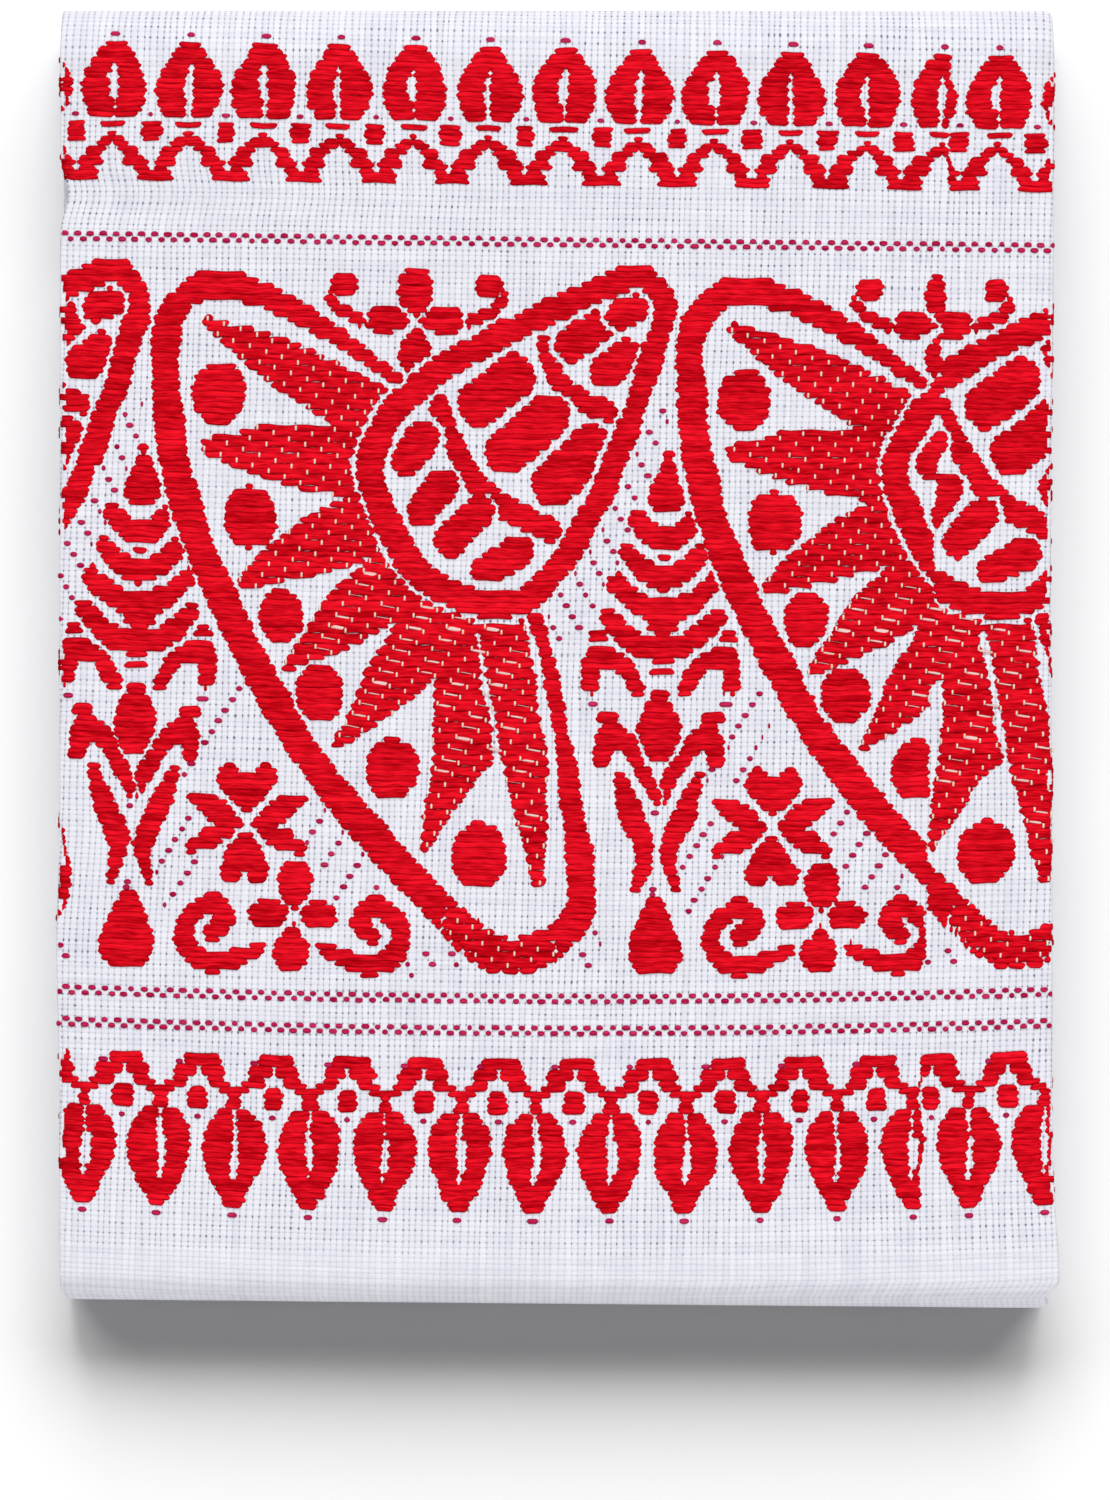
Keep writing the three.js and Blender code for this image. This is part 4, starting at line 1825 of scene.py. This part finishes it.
class PlainWeave:
    """The node group of the ground: ends and picks that pass over and under each other."""

    NAME = "plain weave"
    END_DRIFT = (0.45, 0.04)
    PICK_DRIFT = (0.04, 0.5)
    DRIFT = 1.1
    ROUNDNESS = 0.6
    # Painted shade: HOLE to PATCH_RANGE set where and how strongly the hollows and grooves between threads
    # are darkened.
    HOLE = (0.30, 0.70)
    HOLE_TALL = 0.6
    HOLE_STEP = (3.71, 5.13)
    HOLE_CHANCE = (0.34, 0.66)
    HOLE_RANGE = (0.5, 1.0)
    HOLE_TURN = 0.24
    GROOVE = (0.50, 1.0)
    GROOVE_SHADE = 0.22
    PATCH = (0.07, 0.07)
    PATCH_CHANCE = (0.30, 0.65)
    PATCH_RANGE = (0.6, 1.0)
    END_STREAK = (7.31, 0.05)
    PICK_STREAK = (5.77, 0.05)
    PICK_STREAK_SHIFT = 9.0

    @classmethod
    def group(cls) -> bpy.types.NodeTree:
        """Builds the group once.

        The height at a crossing is the upper thread's round profile. The product of the two sines of ends
        and picks is positive where the end is on top and negative where the pick is. Hollows are the
        corners where both threads fall away.

        Returns:
            A group from a Threads vector to Height, Hollow and Streak values; Hollow marks where painted
            shade goes, in the corners between threads and along the grooves between ends.
        """
        known = bpy.data.node_groups.get(cls.NAME)
        if known:
            return known
        tree = bpy.data.node_groups.new(cls.NAME, "ShaderNodeTree")
        tree.interface.new_socket("Threads", in_out="INPUT", socket_type="NodeSocketVector")
        for name in ("Height", "Hollow", "Streak"):
            tree.interface.new_socket(name, in_out="OUTPUT", socket_type="NodeSocketFloat")
        graph = Graph(tree)
        given = graph.node("NodeGroupInput")
        result = graph.node("NodeGroupOutput")
        parts = graph.node("ShaderNodeSeparateXYZ")
        graph.feed(parts.inputs[0], given.outputs["Threads"])
        ends, picks, _ = parts.outputs

        drift_x = graph.noise(graph.scaled(ends, picks, cls.END_DRIFT))
        drift_y = graph.noise(graph.scaled(ends, picks, cls.PICK_DRIFT))
        x = graph.math("MULTIPLY_ADD", graph.math("SUBTRACT", drift_x, 0.5), cls.DRIFT, ends)
        y = graph.math("MULTIPLY_ADD", graph.math("SUBTRACT", drift_y, 0.5), cls.DRIFT, picks)
        wave_x = graph.math("SINE", graph.math("MULTIPLY", x, math.pi))
        wave_y = graph.math("SINE", graph.math("MULTIPLY", y, math.pi))
        end_round = graph.math("POWER", graph.math("ABSOLUTE", wave_x), cls.ROUNDNESS)
        pick_round = graph.math("POWER", graph.math("ABSOLUTE", wave_y), cls.ROUNDNESS)
        crossing = graph.math("MULTIPLY_ADD", graph.math("MULTIPLY", wave_x, wave_y), 0.5, 0.5)
        under = graph.math("SUBTRACT", 1.0, crossing)
        height = graph.math(
            "ADD", graph.math("MULTIPLY", end_round, crossing), graph.math("MULTIPLY", pick_round, under)
        )
        gap_x = graph.math("SUBTRACT", 1.0, graph.math("ABSOLUTE", wave_x))
        gap_y = graph.math("SUBTRACT", 1.0, graph.math("ABSOLUTE", wave_y))
        # Painted shade in the corners between threads and along the grooves between ends, uneven from hole to
        # hole and from patch to patch.
        tall = graph.math("MULTIPLY_ADD", gap_y, cls.HOLE_TALL, 1.0 - cls.HOLE_TALL)
        hole = graph.ramp(graph.math("MULTIPLY", gap_x, tall), *cls.HOLE)
        nearest = graph.scaled(graph.math("ROUND", x), graph.math("ROUND", y), cls.HOLE_STEP)
        own = graph.ramp(graph.noise(nearest, detail=0.0), *cls.HOLE_CHANCE, cls.HOLE_RANGE)
        every_other = graph.math("COSINE", graph.math("MULTIPLY", y, math.pi))
        turn = graph.math("MULTIPLY_ADD", every_other, cls.HOLE_TURN, 1.0 - cls.HOLE_TURN)
        groove_shade = graph.math("MULTIPLY", graph.ramp(gap_x, *cls.GROOVE), cls.GROOVE_SHADE)
        patch = graph.noise(graph.scaled(ends, picks, cls.PATCH))
        strength = graph.ramp(patch, *cls.PATCH_CHANCE, cls.PATCH_RANGE)
        uneven_hole = graph.math("MULTIPLY", graph.math("MULTIPLY", hole, own), turn)
        hollow = graph.math("MULTIPLY", graph.math("MAXIMUM", uneven_hole, groove_shade), strength)

        one_end, one_pick = graph.math("FLOOR", x), graph.math("FLOOR", y)
        end_streak = graph.noise(graph.scaled(one_end, picks, cls.END_STREAK))
        pick_streak = graph.noise(graph.scaled(one_pick, ends, cls.PICK_STREAK, cls.PICK_STREAK_SHIFT))
        streak = graph.math("ADD", end_streak, graph.math("SUBTRACT", pick_streak, 1.0))
        graph.feed(result.inputs["Height"], height)
        graph.feed(result.inputs["Hollow"], hollow)
        graph.feed(result.inputs["Streak"], streak)
        return tree


@dataclass(frozen=True)
class GroundCotton:
    """The white ground: plain-woven cotton, with painted light and shade on its threads by their height and
    painted shade in the small hollows between them.
    """

    light: Colour = (0.80, 0.80, 0.865)
    shade: Colour = (0.60, 0.60, 0.69)
    # Painted shade: the colour put in the hollows and grooves between threads.
    hollow: Colour = (0.12, 0.12, 0.17)
    base_tone: float = 0.30
    height_shading: float = 0.55
    streak_depth: float = 0.9
    fuzz_depth: float = 0.35
    fuzz_scale: float = 3.1
    fuzz_detail: float = 4.0
    fuzz_bump: float = 0.25
    roll_pick: float = -120.5
    roll_picks: tuple[float, float] = (8.0, 12.5)
    hollow_shade_depths: tuple[float, float] = (0.2, 1.0)
    roughness: float = 0.9
    specular: float = 0.15
    sheen: float = 0.08
    bump: float = 0.55
    bump_distance: float = 0.00022

    def material(self) -> bpy.types.Material:
        """Builds the finish from the weave's UV map.

        Returns:
            The material.
        """
        made = bpy.data.materials.new("white cotton ground")
        made.use_nodes = True
        graph = Graph(made.node_tree)
        shader = made.node_tree.nodes["Principled BSDF"]
        threads = graph.node("ShaderNodeUVMap", uv_map=WEAVE_MAP)
        weave = graph.node("ShaderNodeGroup", node_tree=PlainWeave.group())
        graph.feed(weave.inputs["Threads"], threads.outputs["UV"])
        height, hollow, streak = weave.outputs
        fuzz = graph.noise(threads.outputs["UV"], self.fuzz_scale, self.fuzz_detail)
        # Painted light and shade: by weave height the threads' crowns lean to the light colour and their dips
        # to the shade colour; streaks and fuzz are the threads' own uneven tone.
        tone = graph.math("MULTIPLY_ADD", height, self.height_shading, self.base_tone)
        tone = graph.math("MULTIPLY_ADD", streak, self.streak_depth, tone)
        stray = graph.math("SUBTRACT", fuzz, 0.5)
        tone = graph.math("MULTIPLY_ADD", stray, self.fuzz_depth, tone, clamp=True)
        cloth = graph.mix(tone, opaque(self.shade), opaque(self.light))
        parts = graph.node("ShaderNodeSeparateXYZ")
        graph.feed(parts.inputs[0], threads.outputs["UV"])
        # Painted shade in the hollows, weaker where the cloth is stretched round the front roll.
        from_roll = graph.math("ABSOLUTE", graph.math("SUBTRACT", parts.outputs["Y"], self.roll_pick))
        flat = graph.ramp(from_roll, *self.roll_picks, self.hollow_shade_depths)
        painted_shade = graph.math("MULTIPLY", hollow, flat)
        graph.feed(shader.inputs["Base Color"], graph.mix(painted_shade, cloth, opaque(self.hollow)))
        bump = graph.node("ShaderNodeBump")
        bump.inputs["Strength"].default_value = self.bump
        bump.inputs["Distance"].default_value = self.bump_distance
        graph.feed(bump.inputs["Height"], graph.math("MULTIPLY_ADD", fuzz, self.fuzz_bump, height))
        graph.feed(shader.inputs["Normal"], bump.outputs["Normal"])
        shader.inputs["Roughness"].default_value = self.roughness
        shader.inputs["Specular IOR Level"].default_value = self.specular
        shader.inputs["Sheen Weight"].default_value = self.sheen
        return made


@dataclass(frozen=True)
class StrandFinish:
    """A spun yarn's finish: a body colour, a lit one that is partly painted highlight, a colour of painted
    shade for its sides, and its fibres.
    """

    name: str
    body: Colour
    lit: Colour
    painted_shade: Colour
    edge_shade: float = 0.50
    variation: float = 0.13
    base_tone: float = 0.45
    fibre_depth: float = 2.4
    slub_depth: float = 0.4
    roughness: float = 0.95
    specular: float = 0.0
    bump: float = 0.4
    bump_distance: float = 0.00008

    def material(self) -> bpy.types.Material:
        """Builds the finish from the yarn's strand attribute.

        Returns:
            The material.
        """
        made = bpy.data.materials.new(self.name)
        made.use_nodes = True
        graph = Graph(made.node_tree)
        shader = made.node_tree.nodes["Principled BSDF"]
        strand = graph.node("ShaderNodeAttribute", attribute_name=STRAND, attribute_type="GEOMETRY")
        yarn = graph.node("ShaderNodeGroup", node_tree=SpunYarn.group())
        graph.feed(yarn.inputs["Strand"], strand.outputs["Vector"])
        fibre, edge, slub = yarn.outputs
        parts = graph.node("ShaderNodeSeparateXYZ")
        graph.feed(parts.inputs[0], strand.outputs["Vector"])
        own = graph.math("MULTIPLY", parts.outputs["Z"], self.variation)
        stray = graph.math("SUBTRACT", fibre, 0.5)
        # Fibre and slub noise and each strand's own tone mix the body colour towards the lit one: partly the
        # yarn's own uneven tone, partly painted highlight along its fibres.
        raised = graph.math("MULTIPLY_ADD", stray, self.fibre_depth, self.base_tone)
        raised = graph.math("MULTIPLY_ADD", graph.math("SUBTRACT", slub, 0.5), self.slub_depth, raised)
        lit = graph.mix(graph.math("ADD", raised, own, clamp=True), opaque(self.body), opaque(self.lit))
        # Painted shade: the yarn's sides are mixed towards the shade colour by the Edge mask.
        edge_shading = graph.math("MULTIPLY", edge, self.edge_shade)
        graph.feed(shader.inputs["Base Color"], graph.mix(edge_shading, lit, opaque(self.painted_shade)))
        bump = graph.node("ShaderNodeBump")
        bump.inputs["Strength"].default_value = self.bump
        bump.inputs["Distance"].default_value = self.bump_distance
        graph.feed(bump.inputs["Height"], fibre)
        graph.feed(shader.inputs["Normal"], bump.outputs["Normal"])
        shader.inputs["Roughness"].default_value = self.roughness
        shader.inputs["Specular IOR Level"].default_value = self.specular
        return made


# In each finish below, the lit colour is partly painted highlight, and the third colour is painted shade at
# the sides of a yarn or thread.
RED_INLAY = StrandFinish(
    "red inlay yarn", body=(0.42, 0.001, 0.005), lit=(0.92, 0.008, 0.022), painted_shade=(0.14, 0.0, 0.002),
)
CRIMSON_STITCH = StrandFinish(
    "crimson stitches", body=(0.36, 0.004, 0.045), lit=(0.60, 0.03, 0.12), painted_shade=(0.20, 0.0, 0.03),
)
CREAM_END = StrandFinish(
    "cream binding ends", body=(0.76, 0.58, 0.48), lit=(0.92, 0.82, 0.72), painted_shade=(0.55, 0.28, 0.22),
)
FLUSHED_GROUND = StrandFinish(
    "flushed ground", body=(0.72, 0.40, 0.37), lit=(0.92, 0.74, 0.70), painted_shade=(0.55, 0.12, 0.11),
)


@dataclass(frozen=True)
class FloorFinish:
    """A plain pale floor with a faint mottle."""

    pale: Colour = (0.97, 0.97, 0.97)
    mottle: Colour = (0.95, 0.95, 0.955)
    cloud_scale: float = 6.0
    cloud_detail: float = 3.0
    roughness: float = 0.85
    specular: float = 0.1

    def material(self) -> bpy.types.Material:
        """Builds the finish from the floor's own place.

        Returns:
            The material.
        """
        made = bpy.data.materials.new("pale floor")
        made.use_nodes = True
        graph = Graph(made.node_tree)
        shader = made.node_tree.nodes["Principled BSDF"]
        where = graph.node("ShaderNodeTexCoord")
        cloud = graph.noise(where.outputs["Object"], self.cloud_scale, self.cloud_detail)
        graph.feed(shader.inputs["Base Color"], graph.mix(cloud, opaque(self.pale), opaque(self.mottle)))
        shader.inputs["Roughness"].default_value = self.roughness
        shader.inputs["Specular IOR Level"].default_value = self.specular
        return made


@dataclass
class Towel:
    """The whole dressed towel: its cloth, pattern yarns, line stitches and binding ends."""

    weave: Weave = field(default_factory=Weave)
    sheet: FoldedSheet = field(default_factory=FoldedSheet)

    def _yarn(self, layer: YarnLayer, floats: Floats, finish: StrandFinish, seed: int) -> bpy.types.Object:
        """Builds one layer of yarn and dresses it."""
        piece = layer.build(floats, self.sheet, self.weave, seed)
        return self._dressed(piece, finish.material())

    def _dressed(
        self, piece: bpy.types.Object, material: bpy.types.Material
    ) -> bpy.types.Object:
        """Gives a piece its material and its body, and reports it.

        Args:
            piece: The piece.
            material: Its material.

        Returns:
            The same piece.
        """
        piece.data.materials.append(material)
        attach(piece, BODY)
        LOG.info("%s: %d faces", piece.name, len(piece.data.polygons))
        return piece

    def build(self) -> list[bpy.types.Object]:
        """Returns:
            The pieces, the cloth first.
        """
        chart = Chart(self.weave)
        chart.draw()
        cloth = self._dressed(self.sheet.build(self.weave), GroundCotton().material())
        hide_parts(CLOTH_NODE)

        laid = chart.red()
        bordered = np.broadcast_to(chart.in_border[:, None], laid.shape)
        plumage = (chart.cover == Fill.TIED) | (chart.cover == Fill.PARTED)
        layers = (
            (YarnLayer("border_yarns"), laid & bordered, SEED + 1),
            (YarnLayer("figure_yarns"), laid & ~bordered & ~plumage, SEED + 2),
            (YarnLayer("feather_yarns", wave=chart.parting()), laid & ~bordered & plumage, SEED + 3),
        )
        pieces = [cloth]
        for layer, covered, seed in layers:
            pieces.append(self._yarn(layer, chart.floats(covered), RED_INLAY, seed))
        stitches = (
            (YarnLayer.fine("single_stitches"), chart.pins(), SEED + 4),
            (YarnLayer.fine("line_stitches"), chart.line_stitches(), SEED + 5),
        )
        for layer, floats, seed in stitches:
            pieces.append(self._yarn(layer, floats, CRIMSON_STITCH, seed))

        ties = WhiteThreads("binding_ends", over=0.34).build(chart.ties(), self.sheet, self.weave)
        pieces.append(self._dressed(ties, CREAM_END.material()))
        slits = WhiteThreads("parted_ground", over=0.24).build(chart.slits(), self.sheet, self.weave)
        pieces.append(self._dressed(slits, FLUSHED_GROUND.material()))
        self.sheet.flat_size()
        return pieces


class Falls(Enum):
    """What a light falls on, as a studio lights its subject and its floor apart."""

    TOWEL = "towel"
    FLOOR = "floor"


@dataclass(frozen=True)
class SoftSun:
    """An even light from far off, as wide in the sky as a large lamp."""

    name: str
    falls_on: Falls
    azimuth: float
    elevation: float
    breadth: float
    strength: float

    def build(self, lit: bpy.types.Collection) -> None:
        """Adds the light, turned so that it shines from its place in the sky.

        Args:
            lit: The objects that it falls on.
        """
        data = bpy.data.lights.new(self.name, "SUN")
        data.energy = self.strength
        data.angle = math.radians(self.breadth)
        lamp = bpy.data.objects.new(self.name, data)
        lamp.rotation_euler = (math.radians(90.0 - self.elevation), 0.0, math.radians(self.azimuth))
        lamp.light_linking.receiver_collection = lit
        bpy.context.scene.collection.objects.link(lamp)


@dataclass(frozen=True)
class Studio:
    """The floor, the lights and the camera, in metres."""

    floor_side: float = 6.0
    floor_gap: float = 0.0002
    world_grey: float = 0.9
    world_strength: float = 0.205
    pixel: float = 0.178 * METRE
    frame_pixels: tuple[int, int] = (1110, 1500)
    face_middle_row: float = 655.0
    face_set_back: float = 0.7 * METRE
    face_height: float = 0.0145
    camera_distance: float = 1.10
    sensor: float = 36.0
    lights: tuple[SoftSun, ...] = (
        SoftSun("overhead", Falls.TOWEL, azimuth=0.0, elevation=80.0, breadth=50.0, strength=1.15),
        SoftSun("back", Falls.TOWEL, azimuth=172.0, elevation=35.0, breadth=30.0, strength=2.15),
        SoftSun("front", Falls.TOWEL, azimuth=0.0, elevation=42.0, breadth=50.0, strength=0.85),
        SoftSun("floor back", Falls.FLOOR, azimuth=180.0, elevation=26.0, breadth=34.0, strength=3.85),
        SoftSun("floor right", Falls.FLOOR, azimuth=148.0, elevation=26.0, breadth=34.0, strength=1.4),
        SoftSun("floor left", Falls.FLOOR, azimuth=214.0, elevation=26.0, breadth=34.0, strength=1.25),
    )

    def build(self, towel: list[bpy.types.Object]) -> None:
        """Builds the stage and sets plain colour management.

        Args:
            towel: The towel's pieces.
        """
        scene = bpy.context.scene
        scene.view_settings.view_transform = "Standard"
        subjects = {Falls.TOWEL: towel, Falls.FLOOR: [self._floor()]}
        self._world()
        for light in self.lights:
            light.build(self._group(light.name, subjects[light.falls_on]))
        self._camera()

    @staticmethod
    def _group(name: str, pieces: list[bpy.types.Object]) -> bpy.types.Collection:
        """A collection of the pieces that one light falls on.

        Args:
            name: The light's name.
            pieces: What it falls on.

        Returns:
            The collection.
        """
        made = bpy.data.collections.new(f"lit by {name}")
        for piece in pieces:
            made.objects.link(piece)
        return made

    def _floor(self) -> bpy.types.Object:
        """A wide floor just under the towel.

        Returns:
            The floor.
        """
        half = self.floor_side / 2.0 / METRE
        low = -self.floor_gap / METRE
        corners = np.array([[-half, -half, low], [half, -half, low], [half, half, low], [-half, half, low]])
        floor = new_piece("floor", corners, np.array([[0, 1, 2, 3]]))
        floor.data.materials.append(FloorFinish().material())
        return floor

    def _world(self) -> None:
        """An even grey-white surrounding light."""
        world = bpy.data.worlds.new("studio")
        world.use_nodes = True
        shade = world.node_tree.nodes["Background"]
        shade.inputs["Color"].default_value = (self.world_grey, self.world_grey, self.world_grey, 1.0)
        shade.inputs["Strength"].default_value = self.world_strength
        bpy.context.scene.world = world

    def _camera(self) -> None:
        """A camera straight above, whose frame is the photograph's at the height of the face."""
        rows = self.frame_pixels[1]
        data = bpy.data.cameras.new("camera")
        data.sensor_width = self.sensor
        data.lens = self.sensor * self.camera_distance / (rows * self.pixel)
        camera = bpy.data.objects.new("camera", data)
        middle = (self.face_middle_row - rows / 2.0) * self.pixel + self.face_set_back
        camera.location = (0.0, middle, self.face_height + self.camera_distance)
        bpy.context.scene.collection.objects.link(camera)
        bpy.context.scene.camera = camera


def main() -> None:
    """Builds the towel and its stage, and reports each piece."""
    logging.basicConfig(level=logging.INFO, format="%(name)s: %(message)s")
    pieces = Towel().build()
    Studio().build(pieces)


if __name__ == "__main__":
    main()
